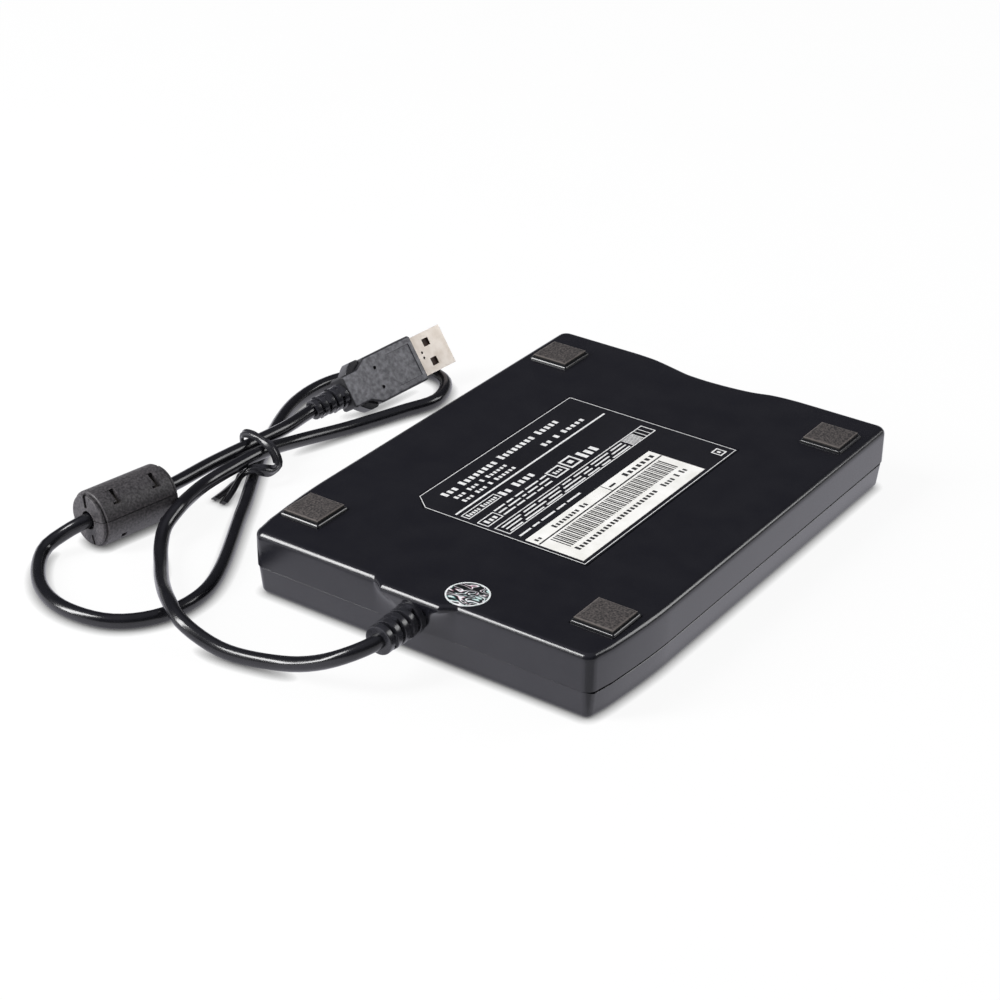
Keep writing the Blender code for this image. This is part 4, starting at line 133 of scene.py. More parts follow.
TIE_MM = (
    (87.65, 41.3, 0.9), (88.3, 36.4, 0.8), (89.5, 30.9, 0.8), (92.0, 25.4, 0.8), (94.6, 22.2, 1.3),
    (96.0, 20.6, 3.2), (96.1, 20.0, 5.9), (95.7, 20.2, 8.9), (92.6, 20.6, 10.1), (88.1, 21.0, 9.8),
    (84.8, 21.3, 8.9), (82.9, 21.4, 6.7), (81.9, 22.0, 4.7), (81.5, 24.6, 4.2), (82.5, 27.4, 5.1),
    (84.4, 29.2, 5.7), (86.1, 31.2, 4.5), (86.7, 33.6, 2.6), (86.0, 36.6, 1.5), (84.4, 41.6, 0.9),
)
TIE_MIDDLE = (89.0 * MM, 5.6 * MM)
CHOKE_MIDDLE = Vector((96.07, 65.9, 7.6)) * MM
CHOKE_AXIS = Vector((0.179, 0.984, 0.0)).normalized()
CHOKE_RADIUS = 7.4 * MM
CHOKE_HALF = 11.9 * MM
CHOKE_CLIPS = (-6.1 * MM, 6.2 * MM)
CHOKE_ROLL = math.radians(14)
PLUG_FRONT = Vector((85.4, -43.5, 9.6)) * MM
PLUG_HEADING = math.radians(-11)
PLUG_PITCH = math.radians(5)
PLUG_ROLL = math.radians(56)
PLUG_LENGTH = 27.0 * MM
PLUG_HALF = 3.7 * MM
PLUG_RELIEF = 11.0 * MM

# Camera, at the photograph's viewing angle
AZIMUTH = math.radians(214.501)
ELEVATION = math.radians(29.057)
TILT = math.radians(0.687)
CAMERA_MM = (-277.74, 439.59, 299.01)
LENS_MM = 83.225
SENSOR_MM = 36
flat = math.cos(ELEVATION)
back = Vector((math.sin(AZIMUTH) * flat, -math.cos(AZIMUTH) * flat, math.sin(ELEVATION)))
level = Vector((math.cos(AZIMUTH), math.sin(AZIMUTH), 0))
rise = back.cross(level)
right = math.cos(TILT) * level + math.sin(TILT) * rise
up = math.cos(TILT) * rise - math.sin(TILT) * level
lens = bpy.data.cameras.new("camera")
lens.lens = LENS_MM
lens.sensor_width = SENSOR_MM
camera = bpy.data.objects.new("camera", lens)
turn = Matrix((right, up, back)).transposed().to_4x4()
camera.matrix_world = Matrix.Translation(Vector(CAMERA_MM) * MM) @ turn
bpy.context.scene.collection.objects.link(camera)
bpy.context.scene.camera = camera
bpy.context.scene.view_settings.view_transform = "Standard"


def plug_frame():
    """The matrix from the plug's own frame (x along its width, y towards its tip, z out of its flat)."""
    sine = math.sin(PLUG_HEADING)
    cosine = math.cos(PLUG_HEADING)
    tip = Vector((sine * math.cos(PLUG_PITCH), -cosine * math.cos(PLUG_PITCH), math.sin(PLUG_PITCH)))
    side = Vector((0, 0, 1)).cross(tip).normalized()
    top = tip.cross(side)
    width = math.cos(PLUG_ROLL) * side + math.sin(PLUG_ROLL) * top
    normal = width.cross(tip)
    return Matrix.Translation(PLUG_FRONT) @ Matrix((width, tip, normal)).transposed().to_4x4()


# Materials

def linear(hex_colour):
    """An sRGB hex colour as linear RGBA."""
    values = [int(hex_colour[start:start + 2], 16) / 255 for start in (1, 3, 5)]
    return (*[v / 12.92 if v <= 0.04045 else ((v + 0.055) / 1.055) ** 2.4 for v in values], 1)


def add(tree, kind, inputs=None, **settings):
    """Adds a shader node with its settings, and sets or links its inputs."""
    made = tree.nodes.new("ShaderNode" + kind)
    for name, value in settings.items():
        setattr(made, name, value)
    for name, value in (inputs or {}).items():
        if isinstance(value, bpy.types.NodeSocket):
            tree.links.new(value, made.inputs[name])
        else:
            made.inputs[name].default_value = value
    return made


def maths(tree, operation, *values):
    """The result of a sum on numbers or sockets."""
    return add(tree, "Math", dict(enumerate(values)), operation=operation).outputs["Value"]


def spread(tree, value, low, high, to_low=0.0, to_high=1.0):
    """A value's span from low to high, spread from to_low to to_high."""
    inputs = {"Value": value, "From Min": low, "From Max": high, "To Min": to_low, "To Max": to_high}
    return add(tree, "MapRange", inputs).outputs["Result"]


def mix(tree, share, one, other, **settings):
    """The mix of two colours, each a socket or RGBA."""
    return add(tree, "MixRGB", {"Fac": share, "Color1": one, "Color2": other}, **settings).outputs["Color"]


def place_of(tree):
    """The point on the piece, in metres."""
    return add(tree, "TexCoord").outputs["Object"]


def stretched(tree, scale, turn_by=0.0):
    """The point on the piece, scaled along each axis and then turned about Z."""
    return add(
        tree, "Mapping", {"Vector": place_of(tree), "Rotation": (0, 0, turn_by), "Scale": scale}
    ).outputs["Vector"]


def noise(tree, size_mm, detail, place=None, **inputs):
    """Noise with grains of that size."""
    inputs["Vector"] = place_of(tree) if place is None else place
    return add(tree, "TexNoise", {"Scale": 1 / (size_mm * MM), "Detail": detail, **inputs}).outputs["Fac"]


def blotches(tree, dark, light, size_mm, detail=4.0, low=0.35, high=0.65):
    """Two colours, mixed in soft blotches of that size."""
    return mix(tree, spread(tree, noise(tree, size_mm, detail), low, high), linear(dark), linear(light))


def surface(name, colour, roughness, metallic=0.0, ior=1.5):
    """A material with its tree and Principled shader."""
    material = bpy.data.materials.new(name)
    material.use_nodes = True
    tree = material.node_tree
    shader = tree.nodes["Principled BSDF"]
    shader.inputs["Base Color"].default_value = linear(colour)
    shader.inputs["Roughness"].default_value = roughness
    shader.inputs["Metallic"].default_value = metallic
    shader.inputs["IOR"].default_value = ior
    return material, tree, shader


def coloured(tree, shader, colour):
    """Links a colour to the shader."""
    tree.links.new(colour, shader.inputs["Base Color"])


def wear(tree, shader, low, high, size_mm):
    """Lets the roughness drift between two values, as handling does."""
    drift = spread(tree, noise(tree, size_mm, 3.0), 0.3, 0.7, low, high)
    tree.links.new(drift, shader.inputs["Roughness"])


def grain(tree, shader, size_mm, depth_mm, detail=2.0, stretch=None):
    """A bump of that grain size and depth, drawn out along an axis if stretch says so."""
    height = noise(tree, size_mm, detail, stretched(tree, stretch) if stretch else None)
    bump = add(tree, "Bump", {"Height": height, "Distance": depth_mm * MM})
    tree.links.new(bump.outputs["Normal"], shader.inputs["Normal"])


def finish(name, colour, roughness, metallic=0.0, ior=1.5, mottled=None, worn=None, grained=None):
    """A material whose colour is mottled, roughness worn and face grained as those values say."""
    material, tree, shader = surface(name, colour, roughness, metallic, ior)
    if mottled:
        coloured(tree, shader, blotches(tree, *mottled))
    if worn:
        wear(tree, shader, *worn)
    if grained:
        grain(tree, shader, *grained)
    return material


def foam_colour_with_painted_light(tree):
    """Mottled grey and brown, with painted shade darkening the sides and a painted highlight as a paler band
    along the top face's edge.
    """
    point = add(tree, "SeparateXYZ", {"Vector": place_of(tree)})
    reach = []
    for axis, middle, half in (("X", 0.0, FOOT_X), ("Y", sum(FOOT_Y) / 2, (FOOT_Y[1] - FOOT_Y[0]) / 2)):
        away = maths(tree, "ABSOLUTE", maths(tree, "SUBTRACT", point.outputs[axis], middle))
        reach.append(maths(tree, "ABSOLUTE", maths(tree, "SUBTRACT", away, half)))
    # Painted highlight: paler colour along the edge of the top face.
    rim = spread(tree, maths(tree, "MAXIMUM", *reach), FOOT_HALF - 0.45 * MM, FOOT_HALF - 0.05 * MM)
    face = blotches(tree, "#232122", "#56504e", 0.5, 8.0, 0.38, 0.66)
    pale = mix(tree, rim, face, linear("#655f5c"))
    # Painted shade: dark colour on the sides below the top face.
    top = spread(tree, point.outputs["Z"], HEIGHT + 1.05 * MM, HEIGHT + 1.35 * MM)
    return mix(tree, top, linear("#1b1a19"), pale)


def painted_side_shade(tree, face, flat, colour):
    """The face's colour, with painted shade turning it dark wherever the piece doesn't face along the flat's
    normal.
    """
    normal = add(tree, "NewGeometry").outputs["Normal"]
    facing = add(tree, "VectorMath", {0: normal, 1: flat}, operation="DOT_PRODUCT").outputs["Value"]
    return mix(tree, spread(tree, maths(tree, "ABSOLUTE", facing), 0.7, 0.95), linear(colour), face)


def foil_painted_sheen(tree):
    """A painted sheen: silver that breaks into pale pink, blue and green streaks between dark ones, in place
    of the foil's glints and dark reflections.
    """
    streaks = noise(tree, 5.2, 1.0, stretched(tree, (0.55, 1.5, 1), 0.9), Distortion=1.6)
    hues = add(tree, "ValToRGB", {"Fac": streaks})
    for position, colour in (
        (0.3, "#0d0f12"), (0.41, "#14171a"), (0.422, "#e9eef0"), (0.436, "#f2f0f2"), (0.446, "#c995a8"),
        (0.456, "#101215"), (0.52, "#14171a"), (0.53, "#8fc4bf"), (0.54, "#f0eef0"), (0.556, "#e9e6ea"),
        (0.566, "#15181b"), (0.66, "#101215"), (0.68, "#b9d6d3"),
    ):
        stop = hues.color_ramp.elements.new(position)
        stop.color = linear(colour)
    return hues.outputs["Color"]


# Moulded ABS with a fine spark-eroded texture: deep black, broad soft highlights. The real grain is about
# 0.1 mm, too fine to show, so it is drawn at 0.5 mm.
case_black = finish(
    "moulded_abs_spark_texture", "#16161b", 0.21, ior=1.53,
    mottled=("#14141a", "#19191e", 9), worn=(0.19, 0.23, 14), grained=(0.5, 0.003),
)

# The same ABS with a finer texture on the front trim.
bezel_black = finish(
    "moulded_abs_fine_texture", "#1f1f22", 0.5, ior=1.53,
    mottled=("#1c1c1f", "#232326", 6), grained=(0.3, 0.004),
)

# Satin ABS of the button, polished by fingers.
button_black = finish(
    "moulded_abs_satin", "#2b2b2f", 0.32, ior=1.53, mottled=("#28282c", "#2f2f33", 3), worn=(0.28, 0.4, 4)
)

# Clear acrylic of the light pipe, with a slight green tint from the lamp behind it.
pipe_clear = finish("clear_acrylic", "#a9cdb0", 0.12, ior=1.49, mottled=("#9fc6a8", "#b6d6bc", 2))

# Die-cut foam rubber: open cells give a mottled, almost felt-like face of grey and brown.
foam_grey, tree, shader = surface("die_cut_foam_rubber", "#4c4846", 0.95)
# Its colour also holds painted shade on the pad's sides and a painted highlight along its top edge.
coloured(tree, shader, foam_colour_with_painted_light(tree))
grain(tree, shader, 0.4, 0.14, 6.0)

# Black adhesive film under each pad, smooth and a little glossy.
film_black = finish("adhesive_film", "#151518", 0.14, grained=(1.2, 0.003))

# Screen-printed polyester film of the rating label, and the white ink on it.
label_black = finish(
    "printed_polyester_film", "#15151a", 0.26, ior=1.57,
    mottled=("#131318", "#18181d", 12), grained=(1.5, 0.002),
)
ink_white = finish("white_screen_ink", "#e3e3e3", 0.5, mottled=("#d4d4d4", "#eeeeee", 0.8))

# Thermal-printed paper of the bar-code sticker, and its black print.
sticker_pale = finish("coated_paper", "#f0efeb", 0.45, mottled=("#e9e8e3", "#f5f4f1", 5))
ink_black = finish("thermal_print", "#222224", 0.5, mottled=("#19191b", "#343436", 0.6))

# Hologram foil of the round seal, its glints and reflections painted into its colour, and its plain bright
# rim.
seal_foil, tree, shader = surface("hologram_foil", "#8b9496", 0.4, 0.1)
# Painted reflection: the foil's glints and dark streaks are drawn into its colour.
coloured(tree, shader, foil_painted_sheen(tree))
foil_rim = finish("hologram_foil_rim", "#eef0f0", 0.4, 0.1, mottled=("#d5dfdd", "#fbfafc", 1.2))

# Extruded PVC jacket of the lead: plasticised, so its highlights are long and clear.
jacket_black = finish(
    "extruded_pvc", "#121216", 0.2, ior=1.53,
    mottled=("#101014", "#16161a", 7), worn=(0.17, 0.25, 10), grained=(1.1, 0.002),
)

# Soft PVC moulded round the lead and the plug: matt and greyish on its two flats, which the mould's texture
# makes and a painted sheen adds to, with painted shade darkening its sides.
grip_black, tree, shader = surface("overmoulded_pvc", "#6c6c71", 0.5, ior=1.53)
# The flats' pale mottle is partly a painted sheen; the sides get painted shade by their facing.
flats = blotches(tree, "#58585d", "#88888d", 1.3, 8.0, 0.34, 0.68)
coloured(tree, shader, painted_side_shade(tree, flats, plug_frame().col[2].to_3d(), "#1b1b1e"))
grain(tree, shader, 0.45, 0.012)
relief_black = finish(
    "moulded_pvc_relief", "#222226", 0.25, ior=1.53, mottled=("#1f1f23", "#29292e", 2), grained=(0.5, 0.004)
)

# Nylon of the choke's shells, coarse and speckled from its mould.
choke_black = finish(
    "moulded_nylon_coarse", "#39373a", 0.5, ior=1.53,
    mottled=("#262426", "#514e50", 0.6, 6.0, 0.36, 0.66), grained=(0.45, 0.045, 5.0),
)

# Pressed ferrite: a warm dark grey with a dry surface.
ferrite_grey = finish(
    "pressed_ferrite", "#5c5854", 0.62, mottled=("#4c4844", "#6d6862", 1.1), grained=(0.4, 0.03)
)

# Vinyl on the wire of the tie.
tie_black = finish(
    "vinyl_coated_strip", "#1d1d20", 0.26, ior=1.53, mottled=("#19191c", "#28282c", 2), grained=(0.7, 0.01)
)

# Nickel-plated steel of the plug's shell: warm, bright and softly brushed along its length.
plug_steel = finish(
    "nickel_plated_steel", "#d8cfc5", 0.32, 1.0,
    mottled=("#d0c6bb", "#e0d8cf", 3), grained=(0.35, 0.004, 2.0, (1, 0.15, 1)),
)

# Zinc-plated sheet of the mechanism: cool grey with faint spangle and rolling lines.
sheet_steel = finish(
    "zinc_plated_sheet", "#b3b5b6", 0.34, 1.0,
    mottled=("#a5a8aa", "#c2c4c4", 5), grained=(0.6, 0.004, 2.0, (0.1, 1, 1)),
)

# Ground and hardened steel of shafts, pins and the screw.
ground_steel = finish(
    "ground_steel", "#c8c8c9", 0.2, 1.0,
    mottled=("#bebfc1", "#d2d2d2", 2), grained=(0.3, 0.002, 2.0, (1, 0.2, 1)),
)

# Spring wire, drawn and left bright.
spring_steel = finish("drawn_spring_wire", "#a9abad", 0.26, 1.0, mottled=("#9b9da0", "#b8babc", 1))

# Black-passivated screws.
screw_dark = finish("passivated_steel", "#6d6f72", 0.38, 1.0, mottled=("#606266", "#7b7d80", 1))

# Oil-filled sintered bronze.
bronze = finish(
    "sintered_bronze", "#a8875a", 0.45, 1.0, mottled=("#8f7048", "#b89768", 0.8), grained=(0.25, 0.01)
)

# Enamelled copper of the coils on their laminated plate.
coil_copper = finish(
    "enamelled_copper", "#a85a30", 0.32, 0.9,
    mottled=("#8e4824", "#bd6d3f", 0.8), grained=(0.3, 0.05, 2.0, (1, 1, 6)),
)

# Glass-epoxy board under green solder mask, with the faint weave of its cloth.
board_green = finish(
    "solder_masked_board", "#1d5636", 0.38, mottled=("#1b5133", "#1f5a39", 4), grained=(0.6, 0.006)
)

# Moulded epoxy packages and glass-filled switch bodies.
chip_black = finish("moulded_epoxy", "#1b1b1d", 0.55, mottled=("#18181a", "#212123", 1), grained=(0.2, 0.01))

# Polyester of the plug's tongue, glass-filled: a warm brown black.
tongue_black = finish(
    "glass_filled_polyester", "#3a2316", 0.65, ior=1.57, mottled=("#2e1a10", "#472d1e", 0.9)
)

# Acetal of the carriage and arm: milky, waxy, with a soft edge glow.
acetal_white = finish("moulded_acetal", "#dedacf", 0.42, ior=1.48, mottled=("#d5d1c5", "#e6e2d8", 3))

# Polished ceramic of the heads.
ceramic = finish("polished_ceramic", "#4a4743", 0.12, mottled=("#413e3b", "#56534e", 1))

# Polyester flat cable: pale film with its copper strips, 1 mm apart, showing through.
cable_film, tree, shader = surface("polyester_flat_cable", "#d8d6d0", 0.36)
strips = add(tree, "TexWave", {"Vector": place_of(tree), "Scale": math.pi / (10 * MM)}, bands_direction="X")
coloured(tree, shader, mix(tree, strips.outputs["Fac"], linear("#e2e0da"), linear("#cdb08c")))

# Gold flash on the plug's contacts.
contact_gold = finish("gold_flash", "#d8ae5c", 0.22, 1.0, mottled=("#cfa24c", "#e2bc70", 1))

# Insulated inner wires.
wire_grey = finish("wire_insulation", "#5a3230", 0.4, mottled=("#2b2b2e", "#8a3a36", 1.3, 1.0))


# Geometry helpers

Z_TO_Y = Matrix.Rotation(-math.pi / 2, 4, "X")


def arc(centre, radius, start, end, steps):
    """Points on an arc, both ends included."""
    points = []
    for step in range(steps + 1):
        angle = start + (end - start) * step / steps
        points.append((centre[0] + radius * math.cos(angle), centre[1] + radius * math.sin(angle)))
    return points


def loft(rings, closed=False):
    """A skin through rings of points, with its ends capped unless the last ring meets the first."""
    shape = bmesh.new()
    loops = [[shape.verts.new(point) for point in ring] for ring in rings]
    pairs = list(zip(loops, loops[1:]))
    if closed:
        pairs.append((loops[-1], loops[0]))
    for low, high in pairs:
        for here in range(len(low)):
            there = (here + 1) % len(low)
            shape.faces.new((low[here], low[there], high[there], high[here]))
    if not closed:
        shape.faces.new(loops[0][::-1])
        shape.faces.new(loops[-1])
    bmesh.ops.recalc_face_normals(shape, faces=shape.faces)
    return shape


def stack(outline, heights):
    """A shape with the same outline at each height."""
    return loft([[(x, y, height) for x, y in outline] for height in heights])


def turned(profile, steps, hollow=False):
    """A shape turned about Z from (radius, height) pairs."""
    rings = []
    for radius, height in profile:
        ring = []
        for step in range(steps):
            angle = 2 * math.pi * step / steps
            ring.append((radius * math.cos(angle), radius * math.sin(angle), height))
        rings.append(ring)
    return loft(rings, hollow)


def block(x, y, z):
    """A box between two limits along each axis."""
    corners = [(x[0], y[0]), (x[1], y[0]), (x[1], y[1]), (x[0], y[1])]
    return stack(corners, z)


def rod(axis, centre, radius, span, steps=24):
    """A round bar along an axis: centre gives the two other coordinates, in order."""
    shape = turned([(radius, span[0]), (radius, span[1])], steps)
    if axis == "y":
        move = Matrix.Translation((centre[0], 0, centre[1])) @ Z_TO_Y
    else:
        move = Matrix.Translation((centre[0], centre[1], 0))
    return moved(shape, move)


def moved(shape, matrix):
    """The shape, moved by a matrix."""
    bmesh.ops.transform(shape, matrix=matrix, verts=shape.verts)
    bmesh.ops.recalc_face_normals(shape, faces=shape.faces)
    return shape


def together(shapes):
    """Several shapes as one."""
    whole = bmesh.new()
    for shape in shapes:
        mesh = bpy.data.meshes.new("part")
        shape.to_mesh(mesh)
        shape.free()
        whole.from_mesh(mesh)
        bpy.data.meshes.remove(mesh)
    return whole


def object_of(name, shape):
    """An object in the scene that holds the shape."""
    mesh = bpy.data.meshes.new(name)
    shape.to_mesh(mesh)
    shape.free()
    made = bpy.data.objects.new(name, mesh)
    bpy.context.scene.collection.objects.link(made)
    return made


def carve(piece, shape, operation="DIFFERENCE"):
    """Cuts a shape out of a piece, or joins it on, for good."""
    tool = object_of("tool", shape)
    modifier = piece.modifiers.new("carve", "BOOLEAN")
    modifier.operation = operation
    modifier.solver = "EXACT"
    modifier.object = tool
    settle(piece)
    mesh = tool.data
    bpy.data.objects.remove(tool)
    bpy.data.meshes.remove(mesh)


def settle(piece):
    """Turns a piece's modifiers into plain mesh."""
    bpy.context.view_layer.update()
    seen = piece.evaluated_get(bpy.context.evaluated_depsgraph_get())
    mesh = bpy.data.meshes.new_from_object(seen)
    old = piece.data
    piece.modifiers.clear()
    piece.data = mesh
    mesh.name = piece.name
    bpy.data.meshes.remove(old)


def dress(piece, material, replaced=(), angle=32, bevel=0.0, segments=2, body="base"):
    """Finishes a piece: material, rounded edges, shading, and the body that it rides on."""
    if bevel:
        rounding = piece.modifiers.new("edges", "BEVEL")
        rounding.width = bevel
        rounding.segments = segments
        rounding.limit_method = "ANGLE"
        rounding.angle_limit = math.radians(angle)
        settle(piece)
    piece.data.shade_smooth()
    piece.data.set_sharp_from_angle(angle=math.radians(max(angle, 46) if bevel else angle))
    even = piece.modifiers.new("even_shading", "WEIGHTED_NORMAL")
    even.keep_sharp = True
    cover(piece, material)
    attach(piece, body)
    if replaced:
        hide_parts(*replaced)
    return piece


def cover(piece, material):
    """Gives the whole piece one material."""
    piece.data.materials.clear()
    piece.data.materials.append(material)
    for face in piece.data.polygons:
        face.material_index = 0


def rounded_copy(node, name, material, bevel, segments=2, body="base"):
    """A CAD node's shape again, with its edges rounded."""
    shape = bmesh.new()
    shape.from_mesh(nodes[node].data)
    bmesh.ops.remove_doubles(shape, verts=shape.verts, dist=0.000002)
    bmesh.ops.dissolve_limit(
        shape, angle_limit=math.radians(1), verts=shape.verts, edges=shape.edges, delimit=set()
    )
    made = object_of(name, shape)
    return dress(made, material, (node,), bevel=bevel, segments=segments, body=body)


def spline_point(first, start, end, last, share):
    """A point between start and end on the curve whose knots are spaced by the root of their distance."""
    knots = [0]
    for one, other in ((first, start), (start, end), (end, last)):
        knots.append(knots[-1] + math.sqrt((other - one).length))
    t = knots[1] + share * (knots[2] - knots[1])
    a = between(first, start, knots[0], knots[1], t)
    b = between(start, end, knots[1], knots[2], t)
    c = between(end, last, knots[2], knots[3], t)
    early = between(a, b, knots[0], knots[2], t)
    late = between(b, c, knots[1], knots[3], t)
    return between(early, late, knots[1], knots[2], t)


def between(one, other, low, high, t):
    """The point between two at t, where one stands at low and the other at high."""
    return one + (other - one) * ((t - low) / (high - low))


def fine_points(route, steps):
    """A smooth curve through the route's own points, in that many steps from each to the next."""
    padded = [2 * route[0] - route[1], *route, 2 * route[-1] - route[-2]]
    fine = []
    for near in zip(padded, padded[1:], padded[2:], padded[3:]):
        fine += [spline_point(*near, step / steps) for step in range(steps)]
    return [*fine, route[-1]]


def smooth_path(route, spacing):
    """Points a spacing apart along a smooth curve through the route's own points."""
    fine = fine_points(route, 16)
    lengths = [0]
    for start, end in zip(fine, fine[1:]):
        lengths.append(lengths[-1] + (end - start).length)
    count = max(2, round(lengths[-1] / spacing))
    path = []
    here = 0
    for step in range(count + 1):
        wanted = lengths[-1] * step / count
        while here < len(fine) - 2 and lengths[here + 1] < wanted:
            here += 1
        share = (wanted - lengths[here]) / (lengths[here + 1] - lengths[here])
        path.append(fine[here].lerp(fine[here + 1], share))
    return path


def wire(name, path, radius, material, rounding):
    """A round wire or lead along a path."""
    curve = bpy.data.curves.new(name, "CURVE")
    curve.dimensions = "3D"
    curve.bevel_depth = radius
    curve.bevel_resolution = rounding
    curve.use_fill_caps = True
    spline = curve.splines.new("POLY")
    spline.points.add(len(path) - 1)
    for point, place in zip(spline.points, path):
        point.co = (*place, 1)
    spline.use_smooth = True
    made = bpy.data.objects.new(name, curve)
    bpy.context.scene.collection.objects.link(made)
    curve.materials.append(material)
    return made


def choke_frame(roll=0.0):
    """The matrix from the choke's own frame, whose y runs along the choke."""
    across = CHOKE_AXIS.cross(Vector((0, 0, 1))).normalized()
    facing = Matrix((across, CHOKE_AXIS, Vector((0, 0, 1)))).transposed().to_4x4()
    return Matrix.Translation(CHOKE_MIDDLE) @ facing @ Matrix.Rotation(roll, 4, "Y")


# Lead, tie and what is on the lead

def lead_route():
    """The lead's route, from the case through its relief and the choke into the plug."""
    choke = choke_frame()
    plug = plug_frame()
    route = [Vector(point) * MM for point in LEAD_START_MM + LEAD_MM]
    route += [choke @ Vector((0, share * CHOKE_HALF, 0)) for share in (1.14, 0.9, 0, -1.1)]
    route += [Vector(point) * MM for point in AFTER_CHOKE_MM]
    route += [plug @ Vector((0, along * MM, 0)) for along in (-38, -27, -20)]
    return route


lead_path = smooth_path(lead_route(), 2.5 * MM)
lead = wire("lead_jacket", lead_path, CORD_RADIUS, jacket_black, 6)
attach(lead, "base")
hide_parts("lead")


def tie_strip(path):
    """The tie: a wire in the middle of a flat strip, whose flat side lies on the leads that it holds.

    Behind y = 24 mm its ends come to lie flat on the floor. Its twist is a thicker stretch at y = 26.5 mm.
    """
    flat = 0.16 * MM
    half = [
        (TIE_HALF, 0.0), (TIE_HALF, flat), (0.7 * TIE_HALF, 1.2 * flat), (0.9 * TIE_CORE, 1.6 * flat),
        (0.62 * TIE_CORE, 0.72 * TIE_CORE), (0.3 * TIE_CORE, 0.95 * TIE_CORE), (0.0, TIE_CORE),
    ]
    upper = half + [(-x, z) for x, z in reversed(half[:-1])]
    section = upper + [(x, -z) for x, z in reversed(upper[1:-1])]
    rings = []
    for here, point in enumerate(path):
        before = path[max(here - 1, 0)]
        after = path[min(here + 1, len(path) - 1)]
        way = (after - before).normalized()
        outward = Vector((point.x - TIE_MIDDLE[0], 0, point.z - TIE_MIDDLE[1]))
        lying = min(1, max(0, (point.y - 24 * MM) / (8 * MM)))
        outward.normalize()
        outward.y = 0.8 * abs(outward.x)
        facing = outward.normalized().lerp(Vector((0.25, 0, 1)), lying)
        knot = 0.35 * math.exp(-(((point.y - 26.5 * MM) / (3.5 * MM)) ** 2)) if point.x < 87.5 * MM else 0
        across = way.cross(facing).normalized()
        normal = across.cross(way)
        ring = [point + (1 + knot) * (x * across + z * normal) for x, z in section]
        raised = max(0, 0.03 * MM - min(corner.z for corner in ring))
        rings.append([corner + Vector((0, 0, raised)) for corner in ring])
    piece = object_of("lead_tie_strip", loft(rings))
    return dress(piece, tie_black, ("lead_tie",), angle=50)


tie_path = smooth_path([Vector(point) * MM for point in TIE_MM], 0.8 * MM)
tie = tie_strip(tie_path)


def ribbed_relief(name, start, big, small, length, core, matrix):
    """A segmented relief: rings on a core, each held to the next by two bridges that alternate."""
    pitch = length / (RELIEF_RINGS - 0.35)
    ring = 0.72 * pitch
    soft = 0.16 * ring
    shapes = []
    for number in range(RELIEF_RINGS):
        radius = big + (small - big) * number / (RELIEF_RINGS - 1)
        low = start + number * pitch
        high = low + ring
        profile = [
            (CORD_HOLE_RADIUS, low), (radius - soft, low), (radius - 0.3 * soft, low + 0.3 * soft),
            (radius, low + soft), (radius, high - soft), (radius - 0.3 * soft, high - 0.3 * soft),
            (radius - soft, high), (CORD_HOLE_RADIUS, high),
        ]
        shapes.append(turned(profile, 40, True))
        if number < RELIEF_RINGS - 1:
            across = radius - 0.15 * MM
            side = number % 2
            for sign in (-1, 1):
                limits = sorted((sign * (core - 0.3 * MM), sign * across))
                wide = (-0.42 * radius, 0.42 * radius)
                span = (high - 0.1 * MM, low + pitch + 0.1 * MM)
                shapes.append(block(limits, wide, span) if side else block(wide, limits, span))
    end = start + length
    sleeve = [(CORD_HOLE_RADIUS, start), (core, start), (core * 0.93, end), (CORD_HOLE_RADIUS, end)]
    shapes.append(turned(sleeve, 40, True))
    piece = object_of(name, moved(together(shapes), matrix))
    return dress(piece, relief_black, angle=40)


relief_turn = Matrix.Translation((RELIEF_X, 0, RELIEF_Z)) @ Z_TO_Y
relief = ribbed_relief(
    "relief_rings", RELIEF_OUT, 4.2 * MM, 3.75 * MM, RELIEF_LENGTH, 2.7 * MM,
    relief_turn @ Matrix.Rotation(math.radians(2), 4, "Z"),
)
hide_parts("strain_relief")
collar_profile = [
    (CORD_HOLE_RADIUS, 66.7 * MM), mm(4.0, 66.7), mm(4.0, 68.3), mm(2.9, 68.3),
    (2.9 * MM, RELIEF_OUT), (CORD_HOLE_RADIUS, RELIEF_OUT),
]
collar = object_of("relief_collar", moved(turned(collar_profile, 40, True), relief_turn))
dress(collar, relief_black)


def choke_cut(turn_by, along, x, y, z):
    """A box to cut from the choke, turned about its axis from its top and moved along it."""
    place = Matrix.Translation((0, along, 0)) @ Matrix.Rotation(turn_by, 4, "Y")
    return moved(block(x, y, z), place)


